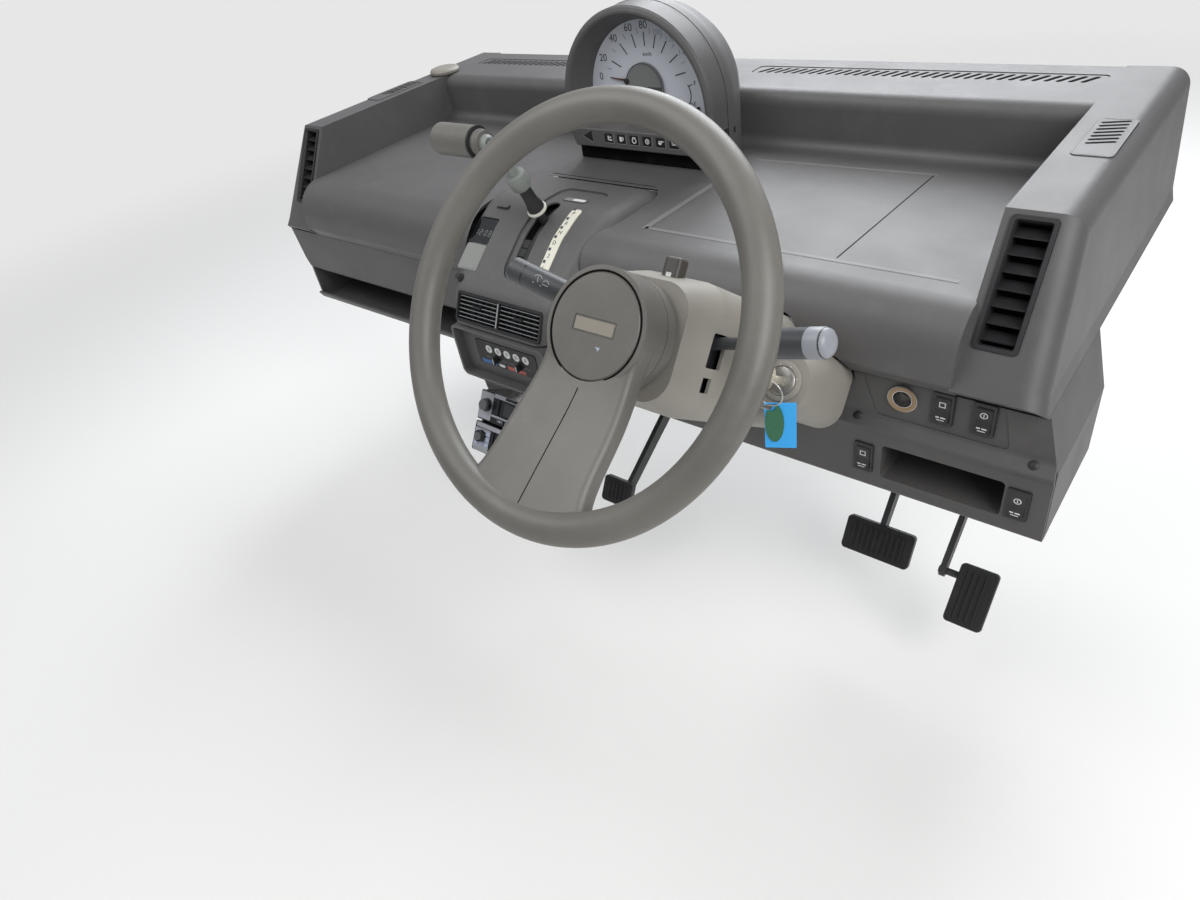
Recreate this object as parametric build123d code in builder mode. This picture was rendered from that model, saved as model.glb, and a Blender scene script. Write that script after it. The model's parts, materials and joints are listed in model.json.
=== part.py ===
from build123d import *
from math import cos, radians, sin
import os

os.makedirs("parts", exist_ok=True)

# Dashboard of a right-hand-drive microvan with its steering column, gear lever and pedals.
# X points to the driver's side, Y to the windscreen, Z up. The origin is the middle of the
# four holes by which the cross beam is bolted to the body.

# Main moulding: a parcel shelf between two end pods, with a step up to the windscreen ledge
WALL = 5
SHELF_Z = 150
LEDGE_Z = 227
STEP_Y = 240
LEDGE_RADIUS = 20
STEP_RADIUS = 14
SCREEN_Y = 405
SCREEN_LIP = 22
ROLL_Y = -160
ROLL_RADIUS = 55
SEAM_Y = -146
SEAM_Z = 58
SEAM_GAP = 0.5
SHELF_HALF = 580
POD_TOP_Z = LEDGE_Z
POD_BACK_Y = -61
POD_FOOT_Z = 72
POD_EDGE = 24
# Height, and how far the moulding reaches out past the shelf, from the pods' top to the panels' foot
END_STEPS = [(240, 70), (75, 88), (-14, 112), (-130, 115)]
END_PROFILE = [(height, SHELF_HALF + reach) for height, reach in END_STEPS]

# Grilles and vents
FIT = 0.3
DUCT_DEPTH = 16
DUCT_WALL = 1.5
GRILLE_START = 70
GRILLE_END = SHELF_HALF - 8
GRILLE_X = (GRILLE_START + GRILLE_END) / 2
GRILLE_LENGTH = GRILLE_END - GRILLE_START
GRILLE_Y = 345
GRILLE_WIDTH = 38
GRILLE_PITCH = 14.5
DEMISTER_X = SHELF_HALF + 37
DEMISTER_Y = 143
DEMISTER_WIDTH = 42
DEMISTER_LENGTH = 118
VENT_X = SHELF_HALF + 30
VENT_WIDTH = 44
VENT_HEIGHT = 132
VENT_DEPTH = 34
VENT_LOUVRES = 7

# Console: an arc that leans towards the seat, set off-centre to the passenger's side
CONSOLE_X = -25
CONSOLE_TOP_Y = 30
CONSOLE_WALL = 4
CONSOLE_GAP = 0.8
CONSOLE_RISE = 8
CONSOLE_EDGE = 24
# Height and half width of the console, seen from the seat
CONSOLE_SIDES = [(175, 136), (20, 98)]
# Face of the console from the shelf to its foot, with the radius at each inner corner
CONSOLE_FACE = [(CONSOLE_TOP_Y, 150), (10, 160), (-80, 162), (-130, 139), (-211, 76), (-235, 29.5)]
CONSOLE_ROUNDS = [20, 90, 60, 40]
GATE_X = -20
GATE_WIDTH = 22.5
GATE_START_Y = -66
GATE_END_Y = -174
BEZEL_SINK = 3
BEZEL_PLATE = 2.5
BEZEL_ROUND = 18
# Left, right, far and near edge of the sunken bezel
BEZEL = (-42, 47, -20, -188)
STRIP_X = 29
STRIP_WIDTH = 17
STRIP_START_Y = -77
STRIP_END_Y = -176
COVER_RADIUS = 208
COVER_THICKNESS = 1.6
COVER_WIDTH = 30
# Angles from upright between which the gate's cover reaches
COVER_ANGLES = (-5, 46)
CLOCK_X = -114
CLOCK_WIDTH = 44
CLOCK_HEIGHT = 44
ASHTRAY_X = -112
ASHTRAY_WIDTH = 40
ASHTRAY_HEIGHT = 42
MOUTH_DEPTH = 16
VENTS_WIDTH = 172
VENTS_HEIGHT = 44
VENTS_DEPTH = 14
VENT_ROWS = 6

# Centre stack below the console
HOUSING_Y = -240
HOUSING_TOP_Z = 27
HOUSING_WIDTH = 190
HOUSING_HEIGHT = 88
HOUSING_DEPTH = 60
HEATER_WIDTH = 126
HEATER_HEIGHT = 42
UNIT_WIDTH = 178
UNIT_HEIGHT = 48
UNIT_DEPTH = 130
UNIT_PITCH = 52
UNIT_LEAN = 33.4
CAGE_WALL = 1.5
# Inner face of the cage's side plates, from the middle of the stack
CAGE_HALF = UNIT_WIDTH / 2 + 0.3

# Steering: the wheel's centre, the column's lean, and the sizes of what turns and what stays
WHEEL_X = 347.4
WHEEL_Y = -444.5
WHEEL_Z = 254.1
COLUMN_ANGLE = 37.5
RIM_RADIUS = 178
RIM_TUBE = 15
PAD_RADIUS = 49
PAD_DEPTH = 38
HEAD_RADIUS = 55
HEAD_BACK = 74
HUB_BACK = 90
SHAFT_RADIUS = 11
SHAFT_END = 640
SHAFT_PLAY = 0.05
TUBE_RADIUS = 21
TUBE_START = 104
TUBE_END = 590
BEARING_LENGTH = 24
SHROUD_START = 96
SHROUD_END = 372
SHROUD_WALL = 3.5
SHROUD_GAP = 3
# Distance behind the rim, width and height of the shroud
SHROUD_SECTIONS = [(SHROUD_START, 112, 114), (150, 124, 136), (SHROUD_END, 136, 132)]
STALK_DISTANCE = 156
STALK_ROOT_RADIUS = 6
STALK_RADIUS = 9
STALK_TIP_RADIUS = 14
LOCK_X = 100
LOCK_UP = -5
LOCK_START = 236
LOCK_RADIUS = 15
# Distance behind the rim, middle, width and height of the wing round the lock
WING_SECTIONS = [(LOCK_START, 80, 96, 62), (SHROUD_END, 66, 112, 88)]
KEY_HOLE_RADIUS = 4
KEY_RING_RADIUS = 15
KEY_RING_WIRE = 0.8
TAG_HOLE_RADIUS = 4.2

# Meter pod, which stands on the shelf and leans on the ledge
METER_Y = 108
METER_Z = 236
METER_RADIUS = 137
METER_LIP_RADIUS = 125
METER_SEAM_Y = 150
METER_WALL = 4
DIAL_Y = 150
DIAL_RADIUS = 110
NEEDLE_Z = 262
STRIP_LOW_Z = 174
STRIP_HIGH_Z = 203
STRIP_HALF = 132
METER_FOOT_Y = 118
METER_FOOT_HALF = 126

# Lower panels
PANEL_WALL = 4
PANEL_Y = -137
RIDGE_Y = -150
RIDGE_Z = -14
PANEL_LOW_Z = -106
PANEL_START_X = 205
RETURN_Y = 40
UPPER_ROW_Z = 31
LOWER_ROW_Z = -60
SOCKET_X = 527.5
SOCKET_BORE = 10.5
SOCKET_LENGTH = 38
UPPER_ROCKERS = [571, 613.5]
LOWER_ROCKERS = [491, 663.5]
ROCKER_WIDTH = 24
ROCKER_HEIGHT = 42
FIELD_DEPTH = 1.2
POCKET_X = 580
POCKET_WIDTH = 136
POCKET_HEIGHT = 48
POCKET_DEPTH = 70
TRAY_START_X = -160
TRAY_TOP_Z = -46
TRAY_DEPTH_Y = 40

# Cross beam
BEAM_Y = 24
BEAM_RADIUS = 22
BEAM_WALL = 3
BEAM_HALF = 650
BOLT_SPACING_X = 2 * (BEAM_HALF - 25)
BOLT_SPACING_Z = 56
BOLT_HOLE_RADIUS = 5.5
END_PLATE_WIDTH = 60
END_PLATE_HEIGHT = 80
END_PLATE = 6
BRACES = [-470, -230, 190, BEAM_HALF - 112]

# Gear lever and pedals
PIN_RADIUS = 5
PIVOT_PLAY = 0.05
CHEEK = 4
LEVER_PIVOT = (-9, -58)
LEVER_ELBOW = (-157, 273)
LEVER_RADIUS = 6
GRIP_RADIUS = 21
GRIP_END_X = -131
ACCELERATOR_X = BEAM_HALF - 74
BRAKE_X = ACCELERATOR_X - 96
BRAKE_PIVOT = (70, -70)
ACCELERATOR_PIVOT = (84, -90)
PARKING_X = 97
PARKING_PIVOT = (74, -66)

WHEEL = Plane(
    origin=(WHEEL_X, WHEEL_Y, WHEEL_Z),
    x_dir=(1, 0, 0),
    z_dir=(0, -cos(radians(COLUMN_ANGLE)), sin(radians(COLUMN_ANGLE))),
)


def on_column(distance):
    """Plane square to the column, this far behind the steering wheel's rim."""
    return WHEEL.offset(-distance)


def across_spoke(height):
    """Plane square to the spoke; its second axis runs along the column to the dash."""
    return Plane(origin=WHEEL.origin + WHEEL.y_dir * height, x_dir=(1, 0, 0), z_dir=WHEEL.y_dir)


def column_point(across, up, distance):
    """Point beside and above the column's axis, this far behind the rim."""
    return WHEEL.origin + WHEEL.x_dir * across + WHEEL.y_dir * up - WHEEL.z_dir * distance


def vent_plane(side):
    """Plane on the sloping back of an end pod, at the middle of its vent."""
    run = Vector(0, ROLL_Y - POD_BACK_Y, POD_FOOT_Z - POD_TOP_Z).normalized()
    middle = Vector(side * VENT_X, POD_BACK_Y, POD_TOP_Z) + run * (VENT_HEIGHT / 2 + 5)
    return Plane(origin=middle, x_dir=(1, 0, 0), z_dir=(0, run.Z, -run.Y))


def console_plane(x, along, first, second):
    """Plane on a straight run of the console's face, this far down from the run's start."""
    start = Vector(x, first[0], first[1])
    run = Vector(0, second[0] - first[0], second[1] - first[1]).normalized()
    return Plane(origin=start + run * along, x_dir=(1, 0, 0), z_dir=(0, run.Z, -run.Y))


def end_outline(inset):
    """Front view of the moulding from end to end, each end moved in by inset."""
    right = [(half - inset, z) for z, half in END_PROFILE]
    left = [(inset - half, z) for z, half in reversed(END_PROFILE)]
    return right + left


def end_half(height):
    """Half width of the moulding at this height."""
    for (high, narrow), (low, wide) in zip(END_PROFILE, END_PROFILE[1:]):
        if height >= low:
            return narrow + (wide - narrow) * (high - height) / (high - low)


def side_return(foot):
    """Front view of the band that closes the end of a lower panel, from this foot up to the seam."""
    heights = [foot, RIDGE_Z, SEAM_Z - SEAM_GAP]
    outer = [(end_half(z), z) for z in heights]
    inner = [(end_half(z) - PANEL_WALL - 1, z) for z in reversed(heights)]
    return outer + inner


def console_outline(grow):
    """Front view of the console, each side moved out by grow."""
    right = [(CONSOLE_X + half + grow, z) for z, half in CONSOLE_SIDES]
    left = [(CONSOLE_X - half - grow, z) for z, half in reversed(CONSOLE_SIDES)]
    return right + left


def finish_piece(piece, name):
    """Name a piece and write it to its own file."""
    piece.part.label = name
    export_step(piece.part, "parts/" + name + ".step")


def bezel_outline(grow):
    """Plan view of the bezel round the gate, its edges moved out by grow."""
    left, right, far, near = BEZEL
    with BuildSketch() as outline:
        with Locations(((left + right) / 2, (far + near) / 2)):
            RectangleRounded(right - left + 2 * grow, far - near + 2 * grow, BEZEL_ROUND + grow)
    return outline.sketch


def laid_in(upper, lower, outline):
    """Plate that follows the console's face between two depths below it, cut to a plan view."""
    with BuildPart() as plate:
        with BuildSketch(Plane.YZ.offset(CONSOLE_X)):
            add(face_band(lower))
            add(face_band(upper), mode=Mode.SUBTRACT)
        extrude(amount=CONSOLE_SIDES[0][1], both=True)
        with BuildSketch(Plane.XY.offset(SEAM_Z)):
            add(outline)
        extrude(amount=SHELF_Z, mode=Mode.INTERSECT)
    return plate.part


def shroud_body(inset, end):
    """Shroud as a closed body up to this distance, its faces moved in by inset."""
    with BuildPart() as body:
        for distance, width, height in SHROUD_SECTIONS:
            with BuildSketch(on_column(end if distance == SHROUD_END else distance + inset)):
                RectangleRounded(width - 2 * inset, height - 2 * inset, 30 - inset)
        loft(ruled=True)
        with BuildPart(mode=Mode.PRIVATE) as wing:
            for distance, middle, width, height in WING_SECTIONS:
                with BuildSketch(on_column(end if distance == SHROUD_END else distance + inset)):
                    with Locations((middle, LOCK_UP)):
                        RectangleRounded(width - 2 * inset, height - 2 * inset, 28 - inset)
            loft(ruled=True)
        add(wing.part)
    return body.part


def shroud_notch():
    """Space that the column and its shroud need where they pass under the roll."""
    with BuildPart() as notch:
        add(shroud_body(-SHROUD_GAP, SHROUD_END + SHROUD_GAP))
        with BuildSketch(on_column(SHROUD_END)):
            Circle(TUBE_RADIUS + 3 * SHROUD_GAP)
        extrude(amount=-150)
    return notch.part


def pod_block(inset, foot, front):
    """End pod of the driver's side as a block, its visible faces moved in by inset."""
    lean = inset * 0.65
    with BuildPart() as block:
        with BuildSketch(Plane.YZ.offset(SHELF_HALF + inset)):
            with BuildLine():
                Polyline(
                    (front, POD_TOP_Z - inset),
                    (POD_BACK_Y + lean, POD_TOP_Z - inset),
                    (ROLL_Y + 1.8 * lean, POD_FOOT_Z),
                    (SEAM_Y + inset, foot),
                    (front, foot),
                    close=True,
                )
            make_face()
        extrude(amount=160)
        with BuildSketch(Plane.XZ.offset(-SCREEN_Y)):
            with BuildLine():
                Polyline(*end_outline(inset), close=True)
            make_face()
        extrude(amount=SCREEN_Y - 2 * ROLL_Y, mode=Mode.INTERSECT)
        slope_or_top = block.faces().filter_by(lambda face: face.normal_at().Z > 0.3)
        shared = [edge for edge in slope_or_top.edges() if edge.center().X > SHELF_HALF + 50]
        shared = [edge for edge in shared if abs(edge.tangent_at(0.5).X) < 0.6]
        fillet(shared, radius=POD_EDGE - inset)
    return block.part


def face_band(depth):
    """Section of a band that follows the console's face, this deep below it or, if negative, above it."""
    # The line runs on past both ends, so that the band's own ends stay clear of the console's
    far = Vector(*CONSOLE_FACE[0]) * 2 - Vector(*CONSOLE_FACE[1])
    near = Vector(*CONSOLE_FACE[-1]) * 2 - Vector(*CONSOLE_FACE[-2])
    with BuildSketch() as section:
        with BuildLine():
            FilletPolyline(far, *CONSOLE_FACE[1:-1], near, radius=CONSOLE_ROUNDS)
            offset(amount=abs(depth), side=Side.LEFT if depth > 0 else Side.RIGHT)
        make_face()
    return section.sketch


def console_block(inset):
    """Console as a closed block, its visible faces moved in by inset."""
    with BuildPart() as block:
        with BuildSketch(Plane.YZ.offset(CONSOLE_X)):
            with BuildLine():
                face_line = FilletPolyline(*CONSOLE_FACE, radius=CONSOLE_ROUNDS)
                Polyline(
                    face_line @ 1,
                    (CONSOLE_FACE[5][0] + 60, CONSOLE_FACE[5][1]),
                    (-60, 120),
                    (CONSOLE_TOP_Y, 130),
                    face_line @ 0,
                )
            make_face()
            if inset:
                add(face_band(inset), mode=Mode.SUBTRACT if inset > 0 else Mode.ADD)
        extrude(amount=CONSOLE_SIDES[0][1] + 5, both=True)
        with BuildSketch(Plane.XZ.offset(-CONSOLE_TOP_Y - 20)):
            with BuildLine():
                Polyline(*console_outline(-inset), close=True)
            make_face()
        extrude(amount=400, mode=Mode.INTERSECT)
        visible = block.faces().filter_by(lambda face: face.normal_at().Z > face.normal_at().Y + 0.2)
        visible = visible.filter_by(lambda face: abs(face.normal_at().X) < 0.1)
        rims = [edge for edge in visible.edges() if abs(edge.tangent_at(0.5).X) < 0.6]
        fillet(rims, radius=CONSOLE_EDGE - inset)
    return block.part


# Dash shell
with BuildPart() as dash_shell:
    with BuildSketch(Plane.YZ):
        with BuildLine():
            FilletPolyline(
                (SCREEN_Y, LEDGE_Z - SCREEN_LIP),
                (SCREEN_Y, LEDGE_Z),
                (STEP_Y, LEDGE_Z),
                (STEP_Y, SHELF_Z),
                (ROLL_Y, SHELF_Z),
                (ROLL_Y, POD_FOOT_Z + 4),
                (SEAM_Y, SEAM_Z),
                radius=[6, LEDGE_RADIUS, STEP_RADIUS, ROLL_RADIUS, 12],
            )
            offset(amount=WALL, side=Side.LEFT)
        make_face()
    extrude(amount=SHELF_HALF + 2, both=True)
    # Caps where the roll meets the pods
    with BuildSketch(Plane.YZ.offset(SHELF_HALF - WALL)):
        with BuildLine():
            roll_line = FilletPolyline(
                (ROLL_Y + 2 * ROLL_RADIUS, SHELF_Z),
                (ROLL_Y, SHELF_Z),
                (ROLL_Y, POD_FOOT_Z + 4),
                (SEAM_Y, SEAM_Z),
                radius=[ROLL_RADIUS, 12],
            )
            Line(roll_line @ 1, roll_line @ 0)
        make_face()
    extrude(amount=WALL + 2)
    mirror(about=Plane.YZ)
    with BuildPart(mode=Mode.PRIVATE) as pod:
        add(pod_block(0, SEAM_Z, SCREEN_Y))
        add(pod_block(WALL, SEAM_Z - 60, SCREEN_Y - WALL), mode=Mode.SUBTRACT)
    add(pod.part)
    add(mirror(pod.part, about=Plane.YZ))
    # Mouths of the grilles and vents
    with BuildSketch(Plane.XY.offset(LEDGE_Z - 4 * WALL)):
        with Locations((GRILLE_X, GRILLE_Y), (-GRILLE_X, GRILLE_Y)):
            RectangleRounded(GRILLE_LENGTH, GRILLE_WIDTH, 8)
        with Locations((DEMISTER_X, DEMISTER_Y), (-DEMISTER_X, DEMISTER_Y)):
            RectangleRounded(DEMISTER_WIDTH, DEMISTER_LENGTH, 8)
    extrude(amount=6 * WALL, mode=Mode.SUBTRACT)
    for side in (1, -1):
        with BuildSketch(vent_plane(side).offset(-3 * WALL)):
            RectangleRounded(VENT_WIDTH, VENT_HEIGHT, 5)
        extrude(amount=6 * WALL, mode=Mode.SUBTRACT)
    # Openings for the console, which sits a little below the roll, and for the shroud
    add(console_block(-CONSOLE_GAP), mode=Mode.SUBTRACT)
    add(Pos(0, -CONSOLE_RISE / 2, CONSOLE_RISE) * console_block(-CONSOLE_GAP), mode=Mode.SUBTRACT)
    add(shroud_notch(), mode=Mode.SUBTRACT)
finish_piece(dash_shell, "dash_shell")

# Defroster grilles, shallow ducts with slanting slots, let into the ledge
with BuildPart() as defroster_grilles:
    with BuildSketch(Plane.XY.offset(LEDGE_Z - 1)):
        with Locations((GRILLE_X, GRILLE_Y), (-GRILLE_X, GRILLE_Y)):
            RectangleRounded(GRILLE_LENGTH - 2 * FIT, GRILLE_WIDTH - 2 * FIT, 8 - FIT)
    extrude(amount=-DUCT_DEPTH)
    with BuildSketch(Plane.XY.offset(LEDGE_Z - 1 - DUCT_WALL)):
        with Locations((GRILLE_X, GRILLE_Y), (-GRILLE_X, GRILLE_Y)):
            RectangleRounded(GRILLE_LENGTH - 3 * DUCT_WALL, GRILLE_WIDTH - 3 * DUCT_WALL, 6)
    extrude(amount=2 * DUCT_WALL - DUCT_DEPTH, mode=Mode.SUBTRACT)
    with BuildSketch(Plane.XY.offset(LEDGE_Z - 2 - DUCT_WALL)):
        with Locations((GRILLE_X, GRILLE_Y), (-GRILLE_X, GRILLE_Y)):
            with GridLocations(GRILLE_PITCH, 1, int((GRILLE_LENGTH - 20) / GRILLE_PITCH), 1):
                SlotOverall(30, 7, rotation=60)
    extrude(amount=DUCT_WALL + 2, mode=Mode.SUBTRACT)
finish_piece(defroster_grilles, "defroster_grilles")

# Side demisters on the pods, made like the grilles
with BuildPart() as side_demisters:
    with BuildSketch(Plane.XY.offset(POD_TOP_Z + 1)):
        with Locations((DEMISTER_X, DEMISTER_Y), (-DEMISTER_X, DEMISTER_Y)):
            RectangleRounded(DEMISTER_WIDTH - 2 * FIT, DEMISTER_LENGTH - 2 * FIT, 8 - FIT)
    extrude(amount=-DUCT_DEPTH)
    with BuildSketch(Plane.XY.offset(POD_TOP_Z + 1 - 2 * DUCT_WALL)):
        with Locations((DEMISTER_X, DEMISTER_Y), (-DEMISTER_X, DEMISTER_Y)):
            RectangleRounded(DEMISTER_WIDTH - 3 * DUCT_WALL, DEMISTER_LENGTH - 3 * DUCT_WALL, 6)
    extrude(amount=3 * DUCT_WALL - DUCT_DEPTH, mode=Mode.SUBTRACT)
    with BuildSketch(Plane.XY.offset(POD_TOP_Z - 2 * DUCT_WALL)):
        with Locations((DEMISTER_X, DEMISTER_Y + 14), (-DEMISTER_X, DEMISTER_Y + 14)):
            with GridLocations(1, 11, 1, 7):
                SlotOverall(30, 5.5, rotation=20)
    extrude(amount=2 * DUCT_WALL + 2, mode=Mode.SUBTRACT)
finish_piece(side_demisters, "side_demisters")

# Side vents: a deep frame, closed at the back, with tilted louvres
with BuildPart() as side_vents:
    for side in (1, -1):
        face = vent_plane(side)
        with BuildSketch(face.offset(2)):
            RectangleRounded(VENT_WIDTH - 2 * FIT, VENT_HEIGHT - 2 * FIT, 5 - FIT)
        extrude(amount=-VENT_DEPTH)
        with BuildSketch(face.offset(2)):
            RectangleRounded(VENT_WIDTH - 9, VENT_HEIGHT - 9, 3)
        with BuildSketch(face.offset(-2)):
            RectangleRounded(VENT_WIDTH - 12, VENT_HEIGHT - 12, 2)
        loft(mode=Mode.SUBTRACT)
        with BuildSketch(face.offset(-2)):
            RectangleRounded(VENT_WIDTH - 12, VENT_HEIGHT - 12, 2)
        extrude(amount=6 - VENT_DEPTH, mode=Mode.SUBTRACT)
        for step in range(VENT_LOUVRES):
            height = (step - (VENT_LOUVRES - 1) / 2) * (VENT_HEIGHT - 14) / VENT_LOUVRES
            blade = Plane(
                origin=face.origin + face.y_dir * height - face.z_dir * 9,
                x_dir=(1, 0, 0),
                z_dir=(face.y_dir * 0.77 + face.z_dir * 0.64).normalized(),
            )
            with BuildSketch(blade.offset(-0.8)):
                Rectangle(VENT_WIDTH - 11, 17)
            extrude(amount=1.6)
finish_piece(side_vents, "side_vents")

# Console face: a rounded hood with the opening of the gate's bezel and mouths for clock,
# ashtray and vents
CLOCK = console_plane(CLOCK_X, CLOCK_HEIGHT / 2 + 1, (-116.5, 144), (-155, 119.5))
ASHTRAY = console_plane(ASHTRAY_X, ASHTRAY_HEIGHT / 2 + 32, CONSOLE_FACE[3], CONSOLE_FACE[4])
VENTS = console_plane(CONSOLE_X, 26, CONSOLE_FACE[4], CONSOLE_FACE[5])
with BuildPart() as console_face:
    add(console_block(0))
    add(console_block(CONSOLE_WALL), mode=Mode.SUBTRACT)
    with BuildSketch(Plane.XY.offset(SEAM_Z)):
        add(bezel_outline(0))
    extrude(amount=SHELF_Z, mode=Mode.SUBTRACT)
    with BuildSketch(CLOCK.offset(-MOUTH_DEPTH)):
        RectangleRounded(CLOCK_WIDTH, CLOCK_HEIGHT, 4)
    extrude(amount=2 * MOUTH_DEPTH, mode=Mode.SUBTRACT)
    with BuildSketch(ASHTRAY.offset(-MOUTH_DEPTH)):
        RectangleRounded(ASHTRAY_WIDTH, ASHTRAY_HEIGHT, 4)
    extrude(amount=2 * MOUTH_DEPTH, mode=Mode.SUBTRACT)
    with BuildSketch(VENTS.offset(-MOUTH_DEPTH)):
        RectangleRounded(VENTS_WIDTH, VENTS_HEIGHT, 5)
    extrude(amount=2 * MOUTH_DEPTH, mode=Mode.SUBTRACT)
finish_piece(console_face, "console_face")

# Sunken bezel with the gate, held from below by its flange
with BuildPart() as gate_bezel:
    add(laid_in(BEZEL_SINK, BEZEL_SINK + BEZEL_PLATE, bezel_outline(-FIT)))
    add(laid_in(CONSOLE_WALL, BEZEL_SINK + BEZEL_PLATE, bezel_outline(4)))
    with BuildSketch(Plane.XY.offset(SEAM_Z)):
        with Locations((GATE_X, (GATE_START_Y + GATE_END_Y) / 2)):
            SlotOverall(GATE_START_Y - GATE_END_Y, GATE_WIDTH, rotation=90)
    extrude(amount=SHELF_Z, mode=Mode.SUBTRACT)
finish_piece(gate_bezel, "gate_bezel")

# Position strip beside the gate, laid on the bezel
with BuildSketch() as strip_outline:
    with Locations((STRIP_X, (STRIP_START_Y + STRIP_END_Y) / 2)):
        RectangleRounded(STRIP_WIDTH, STRIP_START_Y - STRIP_END_Y, 5)
with BuildPart() as position_strip:
    add(laid_in(BEZEL_SINK - 1.2, BEZEL_SINK, strip_outline.sketch))
finish_piece(position_strip, "position_strip")

# Clock window
with BuildPart() as clock:
    with BuildSketch(CLOCK.offset(-1)):
        RectangleRounded(CLOCK_WIDTH - 2 * FIT, CLOCK_HEIGHT - 2 * FIT, 4 - FIT)
    extrude(amount=3 - MOUTH_DEPTH)
finish_piece(clock, "clock")

# Ashtray, an open bin behind a flat front
with BuildPart() as ashtray:
    with BuildSketch(ASHTRAY.offset(0.5)):
        RectangleRounded(ASHTRAY_WIDTH - 2 * FIT, ASHTRAY_HEIGHT - 2 * FIT, 3.5)
    extrude(amount=-3)
    with BuildSketch(ASHTRAY.offset(-2.5)):
        with Locations((0, -4)):
            Rectangle(ASHTRAY_WIDTH - 6, ASHTRAY_HEIGHT - 14)
            Rectangle(ASHTRAY_WIDTH - 9, ASHTRAY_HEIGHT - 17, mode=Mode.SUBTRACT)
    extrude(amount=-22)
    with BuildSketch(ASHTRAY.offset(-22)):
        with Locations((0, -4)):
            Rectangle(ASHTRAY_WIDTH - 6, ASHTRAY_HEIGHT - 14)
    extrude(amount=-2.5)
finish_piece(ashtray, "ashtray")

# Centre vents: two mouths in one frame, closed at the back
MOUTH_WIDTH = VENTS_WIDTH / 2 - 6
with BuildPart() as centre_vents:
    with BuildSketch(VENTS.offset(1.5)):
        RectangleRounded(VENTS_WIDTH - 2 * FIT, VENTS_HEIGHT - 2 * FIT, 5 - FIT)
    extrude(amount=-VENTS_DEPTH)
    with BuildSketch(VENTS.offset(1.5)):
        with GridLocations(VENTS_WIDTH / 2 - 1.5, 1, 2, 1):
            RectangleRounded(MOUTH_WIDTH, VENTS_HEIGHT - 8, 2)
    extrude(amount=2 - VENTS_DEPTH, mode=Mode.SUBTRACT)
    for row in range(VENT_ROWS):
        height = (row - (VENT_ROWS - 1) / 2) * (VENTS_HEIGHT - 8) / VENT_ROWS
        blade = Plane(
            origin=VENTS.origin + VENTS.y_dir * height - VENTS.z_dir * 4,
            x_dir=(1, 0, 0),
            z_dir=(VENTS.y_dir * 0.97 + VENTS.z_dir * 0.2).normalized(),
        )
        with BuildSketch(blade.offset(-0.5)):
            Rectangle(VENTS_WIDTH - 8, 6)
        extrude(amount=1)
    with BuildSketch(VENTS.offset(-8)):
        with GridLocations(VENTS_WIDTH / 2 - 1.5, 1, 2, 1):
            with GridLocations(MOUTH_WIDTH / 6, 1, 5, 1):
                Rectangle(1, VENTS_HEIGHT - 7)
    extrude(amount=-4)
finish_piece(centre_vents, "centre_vents")

# Housing of the heater control
HOUSING_Z = HOUSING_TOP_Z - HOUSING_HEIGHT / 2
with BuildPart() as console_housing:
    with BuildSketch(Plane.XZ.offset(-HOUSING_Y)):
        with Locations((CONSOLE_X, HOUSING_Z)):
            RectangleRounded(HOUSING_WIDTH, HOUSING_HEIGHT, 10)
            RectangleRounded(HOUSING_WIDTH - 8, HOUSING_HEIGHT - 8, 6, mode=Mode.SUBTRACT)
    extrude(amount=-HOUSING_DEPTH)
    with BuildSketch(Plane.XZ.offset(-HOUSING_Y - 14)):
        with Locations((CONSOLE_X, HOUSING_Z)):
            RectangleRounded(HOUSING_WIDTH - 7, HOUSING_HEIGHT - 7, 6)
            RectangleRounded(HEATER_WIDTH, HEATER_HEIGHT, 3, mode=Mode.SUBTRACT)
    extrude(amount=-3)
    # Slots for the cage's side plates
    with BuildSketch(Plane.XY.offset(HOUSING_TOP_Z - HOUSING_HEIGHT - 1)):
        with Locations((CONSOLE_X, HOUSING_Y + HOUSING_DEPTH / 2 + 8)):
            with GridLocations(2 * CAGE_HALF + CAGE_WALL, 1, 2, 1):
                Rectangle(CAGE_WALL + 2 * FIT, HOUSING_DEPTH - 16)
    extrude(amount=13, mode=Mode.SUBTRACT)
finish_piece(console_housing, "console_housing")

# Heater control with two sliding levers
with BuildPart() as heater_control:
    with BuildSketch(Plane.XZ.offset(-HOUSING_Y - 13)):
        with Locations((CONSOLE_X, HOUSING_Z)):
            RectangleRounded(HEATER_WIDTH - 2 * FIT, HEATER_HEIGHT - 2 * FIT, 3 - FIT)
    extrude(amount=-24)
    with BuildSketch(Plane.XZ.offset(-HOUSING_Y - 13)):
        with Locations((CONSOLE_X - 22, HOUSING_Z - 6), (CONSOLE_X + 26, HOUSING_Z - 6)):
            RectangleRounded(5, 12, 1.5)
    extrude(amount=9)
finish_piece(heater_control, "heater_control")

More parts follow.
